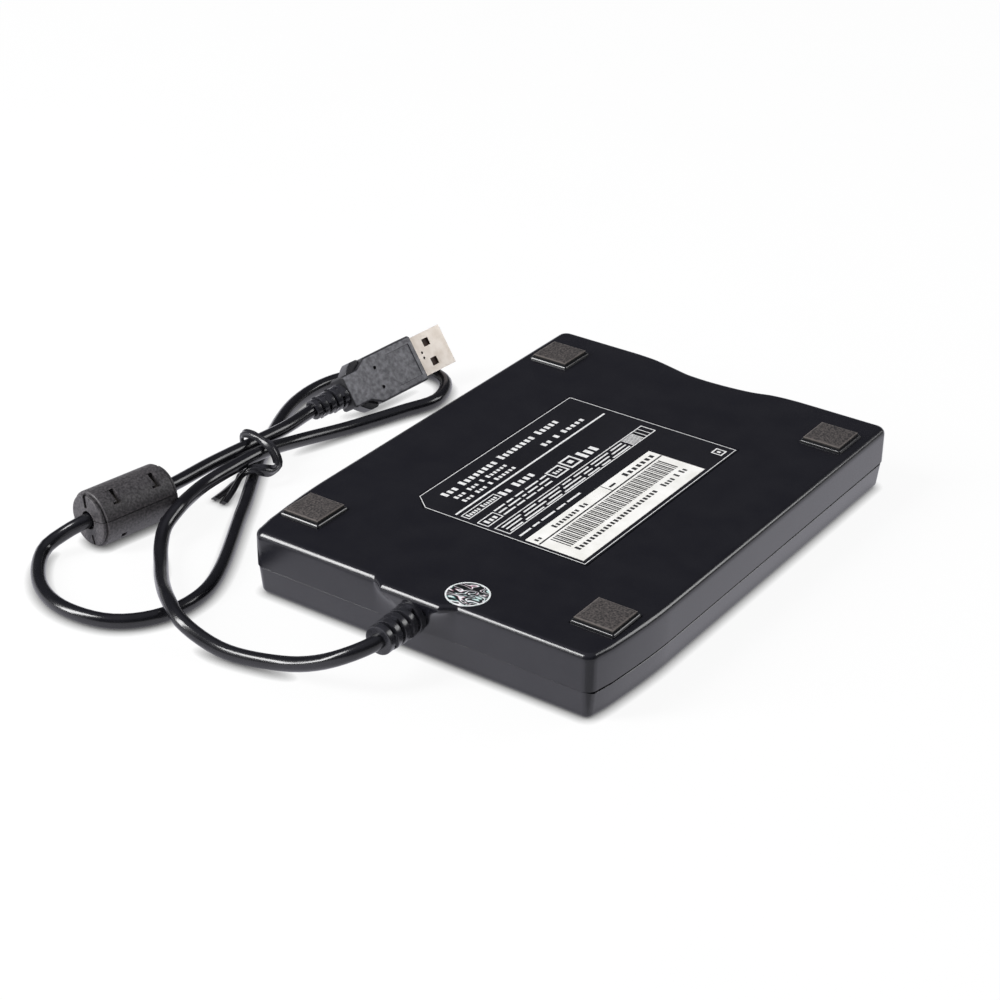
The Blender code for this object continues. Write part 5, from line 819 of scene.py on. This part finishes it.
def choke_shells():
    """The choke's two snap-on halves: clips in their windows, notches, and slit ends behind a groove."""
    place = choke_frame(CHOKE_ROLL)
    end = CHOKE_HALF
    half_profile = [
        mm(0.0, 6.3), mm(0.12, 6.6), mm(0.4, 6.75), mm(0.8, 6.75), mm(0.8, 6.4), mm(1.15, 6.4), mm(1.15, 7.1),
        mm(1.3, 7.34), *[(back * MM, CHOKE_RADIUS) for back in (1.6, 3.4, 5.0, 6.6, 8.2, 10.0)],
    ]
    profile = [(back - end, radius) for back, radius in half_profile]
    profile += [(end - back, radius) for back, radius in reversed(half_profile)]
    made = []
    for name, node, side in (("choke_cap", "choke_upper_half", 1), ("choke_base", "choke_lower_half", -1)):
        rings = []
        for y, radius in profile:
            outline = arc((0, 0.1 * MM), radius, 0, math.pi, 44)
            rings.append([(a, y, side * b) for a, b in outline])
        piece = object_of(name, loft(rings))
        bore, wide = mm(2.5, 5.9)
        near = end - 1.5 * MM
        hollow = [
            (bore, -end - MM), (bore, -near), (wide, -near), (wide, near), (bore, near), (bore, end + MM)
        ]
        carve(piece, moved(turned(hollow, 48), Z_TO_Y))
        cuts = []
        tabs = []
        for along in CHOKE_CLIPS:
            for sign in (-1, 1):
                if side > 0:
                    turn_by = sign * 0.77
                    cuts.append(choke_cut(turn_by, along, mm(-2.25, 2.25), mm(-1.35, 1.15), mm(4, 9)))
                    span = sorted((-sign * 2.35 * MM, sign * 1.55 * MM))
                    tabs.append(choke_cut(turn_by, along, span, mm(-0.15, 1.08), mm(5.6, 7.0)))
                else:
                    turn_by = math.pi + sign * 0.75
                    square = mm(-0.75, 0.75)
                    cuts.append(choke_cut(turn_by, along - 0.6 * MM, square, square, mm(6.2, 9)))
        slit, reach, turn_by = (0.55, 3.3, -0.07) if side > 0 else (0.4, 4.0, math.pi + 0.09)
        for along in (-end, end):
            cuts.append(choke_cut(turn_by, along, mm(-slit, slit), mm(-1.0, 1.0), mm(reach, 9)))
        carve(piece, together(cuts))
        if tabs:
            carve(piece, together(tabs), "UNION")
        piece.data.transform(place)
        made.append(dress(piece, choke_black, (node,), bevel=0.08 * MM))
    return made


choke_pieces = choke_shells()


def plug_outline(z, inset):
    """The overmould's outline at a height over its middle, drawn in by an inset."""
    wide = 7.0 * MM - inset
    waist = 4.9 * MM - inset
    front = -inset
    points = [(wide - 0.5 * MM, front), (wide, front - 0.5 * MM)]
    points += [(wide - x * MM, y * MM) for x, y in ((0, -17.2), (0.12, -17.9), (0.5, -18.5))]
    points += [(waist + x * MM, y * MM) for x, y in ((0.5, -20.4), (0.12, -21.0), (0, -21.7))]
    points += [(waist, -26.4 * MM + inset), (waist - 0.4 * MM, -27.0 * MM + inset)]
    mirrored = [(-x, y) for x, y in reversed(points)]
    return [(x, y, z) for x, y in points + mirrored]


def plug_pieces():
    """The plug: overmould, wings, relief rings, metal shell, tongue and contacts."""
    place = plug_frame()
    rounding = ((0.0, 0.75), (0.1, 0.45), (0.4, 0.12), (0.8, 0.0))
    rings = [plug_outline(-PLUG_HALF + deep * MM, inset * MM) for deep, inset in rounding]
    rings += [plug_outline(PLUG_HALF - deep * MM, inset * MM) for deep, inset in reversed(rounding)]
    body = object_of("plug_grip", loft(rings))
    for sign in (-1, 1):
        z = sorted((sign * (PLUG_HALF - 0.28 * MM), sign * (PLUG_HALF + MM)))
        carve(body, block(mm(-4.9, 4.9), mm(-10.6, -1.7), z))
        deep = sorted((sign * 2.6 * MM, sign * 5 * MM))
        carve(body, together([rod("z", mm(x, -15.6), 0.5 * MM, deep) for x in (-3, 3)]))
    carve(body, block(mm(-6.3, 6.3), mm(-6.3, 1), mm(-2.55, 2.55)))
    to_rear = Matrix.Rotation(math.pi / 2, 4, "X")
    carve(body, moved(rod("z", (0, 0), CORD_RADIUS + 0.05 * MM, mm(0, 40)), to_rear))
    body.data.transform(place)
    dress(body, grip_black, ("plug_overmould",), bevel=0.14 * MM)
    wings = []
    corners = (
        (3.9, -19.0), (6.9, -18.6), (7.4, -19.2), (7.4, -21.6), (6.6, -22.8), (5.2, -24.4), (3.9, -25.0)
    )
    for sign in (-1, 1):
        wings.append(stack([(sign * x * MM, y * MM) for x, y in corners], mm(-2.3, 2.3)))
    wing = object_of("plug_wings", moved(together(wings), place))
    dress(wing, relief_black, bevel=0.3 * MM)
    backwards = place @ to_rear
    rings = ribbed_relief(
        "plug_relief_rings", PLUG_LENGTH, 3.6 * MM, 2.9 * MM, PLUG_RELIEF, 2.2 * MM,
        backwards @ Matrix.Rotation(math.radians(20), 4, "Z"),
    )
    shell = object_of("plug_metal_shell", block(mm(-6, 6), mm(-6, 11.8), mm(-2.25, 2.25)))
    carve(shell, block(mm(-5.7, 5.7), mm(-7, 13), mm(-1.95, 1.95)))
    windows = []
    for sign in (-1, 1):
        x = (sign * 3.0 - 1.15) * MM
        windows.append(block((x, x + 2.3 * MM), mm(4.05, 6.35), mm(-4, 4)))
    for x, y in ((0.7, 2.4), (-0.95, 2.3)):
        windows.append(rod("z", mm(x, y), 0.36 * MM, mm(-4, 4), 16))
    carve(shell, together(windows))
    shell.data.transform(place)
    dress(shell, plug_steel, ("plug_shell",), bevel=0.12 * MM)
    tongue = object_of("plug_tongue_plate", moved(block(mm(-5.4, 5.4), mm(-6, 11.4), mm(-1.65, 0.2)), place))
    dress(tongue, tongue_black, ("plug_tongue",), bevel=0.12 * MM)
    strips = []
    for number in range(4):
        x = (number - 1.5) * 2.3 * MM
        strips.append(block((x - 0.5 * MM, x + 0.5 * MM), mm(3.1, 11.0), mm(0.15, 0.34)))
    contacts = object_of("plug_contacts", moved(together(strips), place))
    dress(contacts, contact_gold, bevel=0.05 * MM, segments=1)
    return [body, wing, rings, shell, tongue, contacts]


plug_parts = plug_pieces()


# Case

def scoop_points(front):
    """The front's hollow, smoothed through its shares."""
    route = [Vector((across * SCOOP_HALF, front + deep * SCOOP_DEPTH, 0)) for across, deep in SCOOP_SHARES]
    return [(point.x, point.y) for point in fine_points(route, 3)]


def case_ring(inset, height, boss=0.0):
    """The case seen from above, inset all round. boss is how far the lead's boss stands out behind.

    Each of its flanks bends softly over its first and last fifth.
    """
    side = HALF_WIDTH - inset
    rear_side = side - TAPER
    front = FRONT_Y + inset
    rear = REAR_Y - inset
    corner = max(CORNER - inset, GAP)
    quarter = math.pi / 2
    points = arc((-side + corner, front + corner), corner, 2 * quarter, 3 * quarter, 10)
    points += scoop_points(front)
    points += arc((side - corner, front + corner), corner, 3 * quarter, 4 * quarter, 10)
    shares = (0, 0.08, 0.18, 0.3, 0.5, 0.75)
    bend = [(side - TAPER * share ** 1.6, REAR_Y - TAPER_LENGTH * (1 - share)) for share in shares]
    points += bend
    points += arc((rear_side - corner, rear - corner), corner, 0, quarter, 10)
    wide = min(BOSS_FLANK + FLANK_SPREAD * (BOSS_DEPTH - boss), BOSS_START - 0.3 * MM)
    flank = []
    for step in range(17):
        share = step / 16
        near = min(share, 1 - share)
        part = near * near / 0.32 if near < 0.2 else (near - 0.1) / 0.8
        flank.append((BOSS_START - share * wide, part if share <= 0.5 else 1 - part))
    points += [(x, rear + part * boss) for x, part in flank + [(-x, part) for x, part in reversed(flank)]]
    points += arc((corner - rear_side, rear - corner), corner, quarter, 2 * quarter, 10)
    points += [(-x, y) for x, y in reversed(bend)]
    return [(x, y, height) for x, y in points]


def edge_rings(height, down, inset, boss):
    """Rings round a rounded edge, from side to flat. down is 1 at a top edge and -1 at a bottom one."""
    rings = []
    steps = 6
    for step in range(steps + 1):
        angle = math.pi / 2 * step / steps
        in_by = inset + EDGE_ROUND * (1 - math.cos(angle))
        rings.append(case_ring(in_by, height - down * EDGE_ROUND * (1 - math.sin(angle)), boss))
    return rings


def window_cut(low, high):
    """The opening in the front wall that the bezel fills."""
    return block((-BEZEL_HALF, BEZEL_HALF), (FRONT_Y - 5 * MM, BEZEL_BACK), (low, high))


def label_shape(margin, heights):
    """The rating label's outline, grown by a margin, between two heights."""
    low_x, high_x, low_y, high_y = LABEL_SIDES
    cut = -LABEL_CUT + 0.4 * margin
    corners = [
        (low_x - margin, low_y - margin), (high_x + margin, low_y - margin), (high_x + margin, high_y + cut),
        (high_x + cut, high_y + margin), (low_x - margin, high_y + margin),
    ]
    return stack(corners, heights)


def lower_case():
    """The shell that is up here: walls, the lead's boss and shallow pockets for pads, label and seal."""
    rim = SEAM + SEAM_GAP
    lip = 0.8 * MM
    lip_top = rim + 1.5 * MM
    soft = 0.18 * MM
    rings = [
        case_ring(WALL, HEIGHT - FLOOR_WALL), case_ring(WALL, lip_top), case_ring(lip, lip_top),
        case_ring(lip, rim), case_ring(soft, rim, BOSS_FOOT), case_ring(0.0, rim + soft, BOSS_FOOT),
    ]
    for share in (0.15, 0.3, 0.45, 0.6, 0.75, 0.9):
        height = rim + soft + share * (HEIGHT - EDGE_ROUND - rim - soft)
        rings.append(case_ring(0.0, height, BOSS_FOOT + share ** 2 * (BOSS_DEPTH - BOSS_FOOT)))
    rings += edge_rings(HEIGHT, 1, 0.0, BOSS_DEPTH)
    piece = object_of("lower_case", loft(rings))
    carve(piece, window_cut(2 * MM, 14.7 * MM))
    carve(piece, rod("y", (RELIEF_X, RELIEF_Z), RELIEF_HOLE_RADIUS, mm(66, 76), 48))
    over = HEIGHT + MM
    half = FOOT_POCKET_HALF
    pockets = []
    for x in (-FOOT_X, FOOT_X):
        for y in FOOT_Y:
            pockets.append(block((x - half, x + half), (y - half, y + half), (HEIGHT - GAP, over)))
            pockets.append(rod("z", (x, y), SCREW_HOLE_RADIUS, (15.5 * MM, over)))
    carve(piece, together(pockets))
    carve(piece, label_shape(GAP, (HEIGHT - POCKET_DEPTH, over)))
    carve(piece, rod("z", SEAL_MIDDLE, SEAL_POCKET_RADIUS, (HEIGHT - POCKET_DEPTH, over), 64))
    return dress(piece, case_black, ("bottom_shell",), angle=28)


def rim_ring(inset, height):
    """The cover's rim, which stands higher behind, where the two shells nearly meet."""
    ring = []
    for x, y, z in case_ring(inset, height):
        share = min(1, max(0, (y - REAR_Y + 1.8 * MM) / (1.2 * MM)))
        ring.append((x, y, z + REAR_RIM_RISE * share))
    return ring


def upper_case():
    """The cover that the drive lies on here."""
    drafted = 0.9 * MM
    lip = 1.1 * MM
    lip_top = 8.8 * MM
    soft = 0.08 * MM
    rings = [
        case_ring(WALL, FLOOR_WALL), case_ring(WALL, lip_top), case_ring(lip, lip_top),
        rim_ring(lip, SEAM), rim_ring(GAP + soft, SEAM), rim_ring(GAP, SEAM - soft),
    ]
    rings += edge_rings(0, -1, drafted, 0.0)
    piece = object_of("upper_case", loft(rings))
    carve(piece, window_cut(2.4 * MM, 16 * MM))
    return dress(piece, case_black, ("top_cover",), angle=28)


lower_case()
upper_case()


def foot_pads():
    """Four die-cut foam pads, each on a wider film of adhesive."""
    for name, (sign, end) in CORNERS.items():
        x = sign * FOOT_X
        y = FOOT_Y[end]
        side = FOOT_HALF
        shape = bmesh.new()
        bmesh.ops.create_grid(shape, x_segments=22, y_segments=22, size=side)
        for vertex in shape.verts:
            across = max(abs(vertex.co.x), abs(vertex.co.y)) / side
            worn = 0.05 * MM * math.sin(vertex.co.x * 3100 + sign) * math.cos(vertex.co.y * 2700 + end)
            vertex.co.z = HEIGHT + FOOT_TOP - 0.24 * MM * across ** 14 + worn * (1 - across ** 8)
        edges = [edge for edge in shape.edges if edge.is_boundary]
        grown = bmesh.ops.extrude_edge_only(shape, edges=edges)["geom"]
        for vertex in grown:
            if isinstance(vertex, bmesh.types.BMVert):
                vertex.co.z = HEIGHT + FOOT_LOW
        bmesh.ops.contextual_create(shape, geom=[e for e in shape.edges if e.is_boundary])
        bmesh.ops.recalc_face_normals(shape, faces=shape.faces)
        pad = object_of(f"foam_pad_{name}", moved(shape, Matrix.Translation((x, y, 0))))
        dress(pad, foam_grey, (f"foot_pad_{name}",), angle=50)
        film_ring = []
        rounding = ((0, -0.2), (0, 0.1), (0.05, 0.31), (0.17, 0.5), (0.36, 0.66), (0.6, 0.74), (0.85, 0.76))
        for in_by, height in rounding:
            wide = FOOT_FILM_HALF - in_by * MM
            corners = []
            for cx, cy, start in ((1, 1, 0), (-1, 1, 1), (-1, -1, 2), (1, -1, 3)):
                centre = (cx * (wide - 0.4 * MM), cy * (wide - 0.4 * MM))
                corners += arc(centre, 0.4 * MM, start * math.pi / 2, (start + 1) * math.pi / 2, 4)
            film_ring.append([(x + a, y + b, HEIGHT + height * MM) for a, b in corners])
        film = object_of(f"pad_film_{name}", loft(film_ring))
        dress(film, film_black, angle=40)


foot_pads()


# Front

rounded_copy("front_bezel", "bezel", bezel_black, 0.2 * MM, 3)
rounded_copy("slot_door", "slot_flap", bezel_black, 0.1 * MM, body="door")
rounded_copy(
    "eject_button", "eject_button_cap", button_black, 0.2 * MM, 3, body="eject_slide"
)
rounded_copy("light_pipe", "light_window", pipe_clear, 0.08 * MM)


# Label, sticker and seal

LABEL_TOP = HEIGHT + 0.005 * MM
INK = 0.02 * MM
PAPER = 0.05 * MM


def label_point(u, v):
    """A place on the label: u runs along its rows, v from its first row down, both in millimetres."""
    return ((26.0 - v) * MM, (35.4 - u) * MM, LABEL_TOP)


def face(shape, corners):
    """A printed face with its corners at those places."""
    shape.faces.new([shape.verts.new(label_point(*corner)) for corner in corners])


def patch(shape, u, v):
    """A printed rectangle between two limits along each way of the label."""
    face(shape, [(u[0], v[0]), (u[0], v[1]), (u[1], v[1]), (u[1], v[0])])


def line(shape, points, width, closed=False):
    """A printed line through points of the label, with mitred corners."""
    places = [Vector(point) for point in points]
    count = len(places)
    sides = []
    for here in range(count):
        before = places[here - 1] if here or closed else None
        after = places[(here + 1) % count] if here < count - 1 or closed else None
        ways = []
        if before is not None:
            ways.append((places[here] - before).normalized())
        if after is not None:
            ways.append((after - places[here]).normalized())
        way = sum(ways, Vector((0, 0))).normalized()
        normal = Vector((-way.y, way.x))
        reach = width / 2 / max(0.3, normal.dot(Vector((-ways[0].y, ways[0].x))))
        sides.append((places[here] + reach * normal, places[here] - reach * normal))
    last = count if closed else count - 1
    for here in range(last):
        one = sides[here]
        two = sides[(here + 1) % count]
        face(shape, [one[0], one[1], two[1], two[0]])


def greeked(shape, u, v, high, words):
    """A row of plain blocks in place of words, or of plain bars where the row is small.

    u is the row's start and end, v its foot, and words gives how many blocks long each word is.
    """
    step = (u[1] - u[0]) / (sum(words) + 0.8 * (len(words) - 1))
    here = u[0]
    for word in words:
        if high < 1.2:
            patch(shape, (here, here + (word - 0.2) * step), (v - 0.62 * high, v))
        else:
            for mark in range(word):
                head = v - high * (1.0 if mark == 0 else 0.76)
                patch(shape, (here + (mark + 0.1) * step, here + (mark + 0.68) * step), (head, v))
        here += (word + 0.8) * step


def printed(name, ink, lift, material):
    """The ink as a thin solid layer, lifted over the label."""
    flat = ink.faces[:]
    grown = bmesh.ops.extrude_face_region(ink, geom=flat, use_keep_orig=True)["geom"]
    raised = [item for item in grown if isinstance(item, bmesh.types.BMVert)]
    bmesh.ops.translate(ink, verts=raised, vec=(0, 0, INK))
    dress(object_of(name, moved(ink, Matrix.Translation((0, 0, lift)))), material)


def white_print():
    """The label's white ink: its frame, rules, boxes and greeked rows."""
    ink = bmesh.new()
    line(ink, [(-1.1, 4.2), (-1.1, 51.5), (71.0, 51.6), (71.2, -0.3), (2.7, -0.3)], 0.2, True)
    for u, v, high, words in (
        ((6.2, 57.8), 5.4, 2.2, (3, 8, 8, 5)), ((6.9, 29.4), 8.2, 1.35, (3, 3, 1, 6)),
        ((6.9, 29.8), 10.7, 1.35, (3, 3, 1, 6)), ((43.4, 63.0), 10.2, 1.7, (2, 1, 5)),
        ((1.3, 13.8), 15.9, 1.3, (5, 6)), ((15.2, 29.6), 16.9, 2.4, (2, 4)), ((1.2, 6.0), 21.7, 1.7, (3,)),
        ((7.4, 30.6), 19.4, 0.85, (5, 3, 4, 6, 3)), ((7.4, 29.8), 20.9, 0.85, (4, 6, 2, 5, 5)),
        ((7.4, 29.0), 22.4, 0.85, (6, 4, 5, 3, 4)), ((32.3, 35.8), 21.0, 1.3, (3,)),
        ((44.2, 51.4), 22.4, 3.6, (3,)), ((1.8, 57.0), 25.65, 0.8, (6, 4, 7, 3, 5, 6, 4)),
        ((1.8, 57.0), 26.95, 0.8, (5, 7, 4, 6, 3, 5, 5)), ((1.8, 57.0), 28.25, 0.8, (4, 6, 5, 7, 4, 3, 6)),
        ((0.9, 28.0), 31.6, 0.95, (5, 3, 6, 4, 6)),
    ):
        greeked(ink, u, v, high, words)
    for u, v, width in (
        ((0.6, 14.4), (14.0, 16.4), 0.3), ((0.2, 6.6), (19.2, 22.4), 0.3),
        ((31.2, 36.6), (18.6, 22.0), 0.5), ((38.0, 42.6), (18.2, 22.2), 0.6),
        ((0.4, 68.2), (24.3, 28.7), 0.3), ((66.2, 68.8), (47.2, 50.0), 0.4),
    ):
        line(ink, [(u[0], v[0]), (u[1], v[0]), (u[1], v[1]), (u[0], v[1])], width, True)
    for u, v in (
        ((0.3, 68.6), (12.2, 12.75)), ((39.5, 41.1), (19.5, 20.9)), ((64.2, 64.45), (24.5, 28.6)),
        ((66.0, 66.25), (24.5, 28.6)), ((67.1, 67.9), (48.1, 49.1)),
        *[((57.8 + 0.6 * stripe, 58.1 + 0.6 * stripe), (24.6, 28.4)) for stripe in range(9)],
    ):
        patch(ink, u, v)
    printed("label_print", ink, 0, ink_white)


def black_print():
    """The sticker's thermal print: its rules, bar pattern and greeked rows."""
    ink = bmesh.new()
    patch(ink, (0.2, 57.0), (37.25, 37.7))
    patch(ink, (33.4, 33.7), (33.7, 37.3))
    for u, v, high, words in (
        ((1.0, 3.6), 36.4, 1.2, (2,)), ((9.2, 24.4), 36.3, 1.6, (8, 2)),
        ((34.6, 37.6), 36.1, 1.1, (2,)), ((41.8, 56.2), 36.3, 1.8, (7,)),
        ((3.6, 40.3), 46.9, 1.7, (24,)), ((43.0, 54.6), 47.1, 1.7, (4, 1, 2)),
    ):
        greeked(ink, u, v, high, words)
    here = 3.8
    number = 0
    while here < 54.2:
        thick = 0.36 + 0.17 * (number * number * 5 % 4)
        patch(ink, (here, min(here + thick, 54.5)), (38.3, 44.2))
        here += thick + 0.26 + 0.14 * ((number * 5 + 2) % 3)
        number += 1
    printed("sticker_print", ink, PAPER, ink_black)


def label_pieces():
    """The rating label's film, and the paper sticker on it."""
    film = object_of("label_film", label_shape(0, (HEIGHT - LABEL_THICK, HEIGHT)))
    dress(film, label_black, ("rating_label",))
    shape = block(mm(-24.4, -7.5), mm(-21.8, 35.4), (HEIGHT - 0.1 * MM, HEIGHT + PAPER))
    paper = object_of("sticker_paper", shape)
    dress(paper, sticker_pale, ("barcode_label",))


label_pieces()
white_print()
black_print()


def seal():
    """The round hologram seal with its bright rim."""
    middle = Matrix.Translation((*SEAL_MIDDLE, 0))
    low = HEIGHT - LABEL_THICK
    foil = object_of("seal_face", moved(turned([(SEAL_RADIUS, low), (SEAL_RADIUS, HEIGHT)], 64), middle))
    dress(foil, seal_foil, ("round_seal",))
    high = HEIGHT + 0.01 * MM
    profile = [(SEAL_RADIUS, low), (SEAL_RIM_RADIUS, low), (SEAL_RIM_RADIUS, high), (SEAL_RADIUS, high)]
    dress(object_of("seal_rim", moved(turned(profile, 64, True), middle)), foil_rim)


seal()


# Mechanism

FINISHES = (
    (ferrite_grey, "ferrite_core"),
    (screw_dark, *[f"case_screw_{corner}" for corner in CORNERS]),
    (
        sheet_steel, "chassis", "shield_plate", "disk_cradle", "eject_slide", "shutter_lever", "rail_bracket",
        "spindle_rotor", "stepper_motor",
    ),
    (ground_steel, "hub_plate", "spindle_shaft", "lead_screw", "guide_rail", "arm_pin"),
    (bronze, "spindle_bearing", "screw_follower"),
    (coil_copper, "stator"),
    (board_green, "motor_board", "bridge_board"),
    (chip_black, "motor_chip", "bridge_chip", "write_protect_switch", "disk_switch_pair"),
    (acetal_white, "write_protect_plunger", "density_plunger", "disk_plunger", "head_carriage", "head_arm"),
    (ceramic, "lower_head", "upper_head"),
    (cable_film, "flat_cable"),
    (wire_grey, "inner_lead"),
    (pipe_clear, "activity_light"),
)
for material, *names in FINISHES:
    for name in names:
        cover(nodes[name], material)


def eject_springs():
    """The two eject springs, each a copy of its CAD part in bright spring wire, riding on the base."""
    for side in ("left", "right"):
        name = f"eject_spring_{side}"
        coil = bpy.data.objects.new(f"eject_coil_{side}", nodes[name].data.copy())
        bpy.context.scene.collection.objects.link(coil)
        cover(coil, spring_steel)
        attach(coil, "base")
        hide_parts(name)
        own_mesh(coil)


eject_springs()


# Floor, world and lights

# Matt white paper. The camera sees it mostly self-lit, with a light shadow where things touch it, and shiny
# pieces see it white, as they do in a light tent that is open towards the nearest corner.
floor_white, tree, shader = surface("matt_white_paper", "#f4f4f4", 0.9)
coloured(tree, shader, blotches(tree, "#f2f2f2", "#f6f6f6", 60))
touch = add(tree, "AmbientOcclusion", {"Distance": 2.5 * MM}, samples=8).outputs["Color"]
spot = add(tree, "SeparateXYZ", {"Vector": place_of(tree)})
beside = spread(tree, spot.outputs["X"], -51 * MM, -48 * MM)
behind = spread(tree, spot.outputs["Y"], 72 * MM, 69 * MM)
tent = mix(tree, maths(tree, "MAXIMUM", beside, behind), (0.62, 0.62, 0.66, 1), (1, 0.99, 1.08, 1))
near = mix(tree, 0.8, tent, touch, blend_type="MULTIPLY")
rays = add(tree, "LightPath")
look = shader.outputs["BSDF"]
self_lit = maths(tree, "MULTIPLY", rays.outputs["Is Camera Ray"], 0.92)
for share, colour in ((self_lit, touch), (rays.outputs["Is Glossy Ray"], near)):
    lit = add(tree, "Emission", {"Color": colour}).outputs["Emission"]
    look = add(tree, "MixShader", {0: share, 1: look, 2: lit}).outputs["Shader"]
tree.links.new(look, tree.nodes["Material Output"].inputs["Surface"])
floor = object_of("floor", block((-3, 3), (-3, 3), (-0.02, -0.0001)))
floor.data.materials.append(floor_white)

# A dark room over the table for what the top faces mirror, with a pale band along the horizon.
world = bpy.data.worlds.new("studio")
bpy.context.scene.world = world
world.use_nodes = True
tree = world.node_tree
height = add(tree, "SeparateXYZ", {"Vector": add(tree, "TexCoord").outputs["Generated"]}).outputs["Z"]
room = add(tree, "ValToRGB", {"Fac": height})
for number, level in ((0, 0.9), (1, 0.6)):
    room.color_ramp.elements[number].color = (level, level, level, 1)
room.color_ramp.elements[0].position = 0.0
room.color_ramp.elements[1].position = 0.1
for position, level in ((0.2, 0.06), (0.7, 0.08), (0.9, 0.3), (1.0, 0.3)):
    stop = room.color_ramp.elements.new(position)
    stop.color = (level, level, level * 1.15, 1)
rays = add(tree, "LightPath")
soft = mix(tree, rays.outputs["Is Diffuse Ray"], room.outputs["Color"], (0.38, 0.38, 0.39, 1))
seen = maths(tree, "MAXIMUM", rays.outputs["Is Camera Ray"], rays.outputs["Is Transmission Ray"])
mixed = mix(tree, seen, soft, (1, 1, 1, 1))
tree.links.new(mixed, tree.nodes["Background"].inputs["Color"])

LAMP_DISTANCE = 1.2


def softbox(name, bearing, elevation, size, power):
    """A soft rectangular lamp at a bearing and elevation in degrees, facing the middle of the drive."""
    data = bpy.data.lights.new(name, "AREA")
    data.shape = "RECTANGLE"
    data.size = size[0]
    data.size_y = size[1]
    data.energy = power
    made = bpy.data.objects.new(name, data)
    bpy.context.scene.collection.objects.link(made)
    turn_by = math.radians(bearing)
    rise_by = math.radians(elevation)
    level_by = math.cos(rise_by)
    made.location = LAMP_DISTANCE * Vector(
        (level_by * math.cos(turn_by), level_by * math.sin(turn_by), math.sin(rise_by))
    )
    made.rotation_euler = (-made.location).to_track_quat("-Z", "Y").to_euler()


softbox("right_softbox", -130, 33, (0.42, 0.5), 3.9)
softbox("left_softbox", 48, 34, (0.3, 0.95), 18)
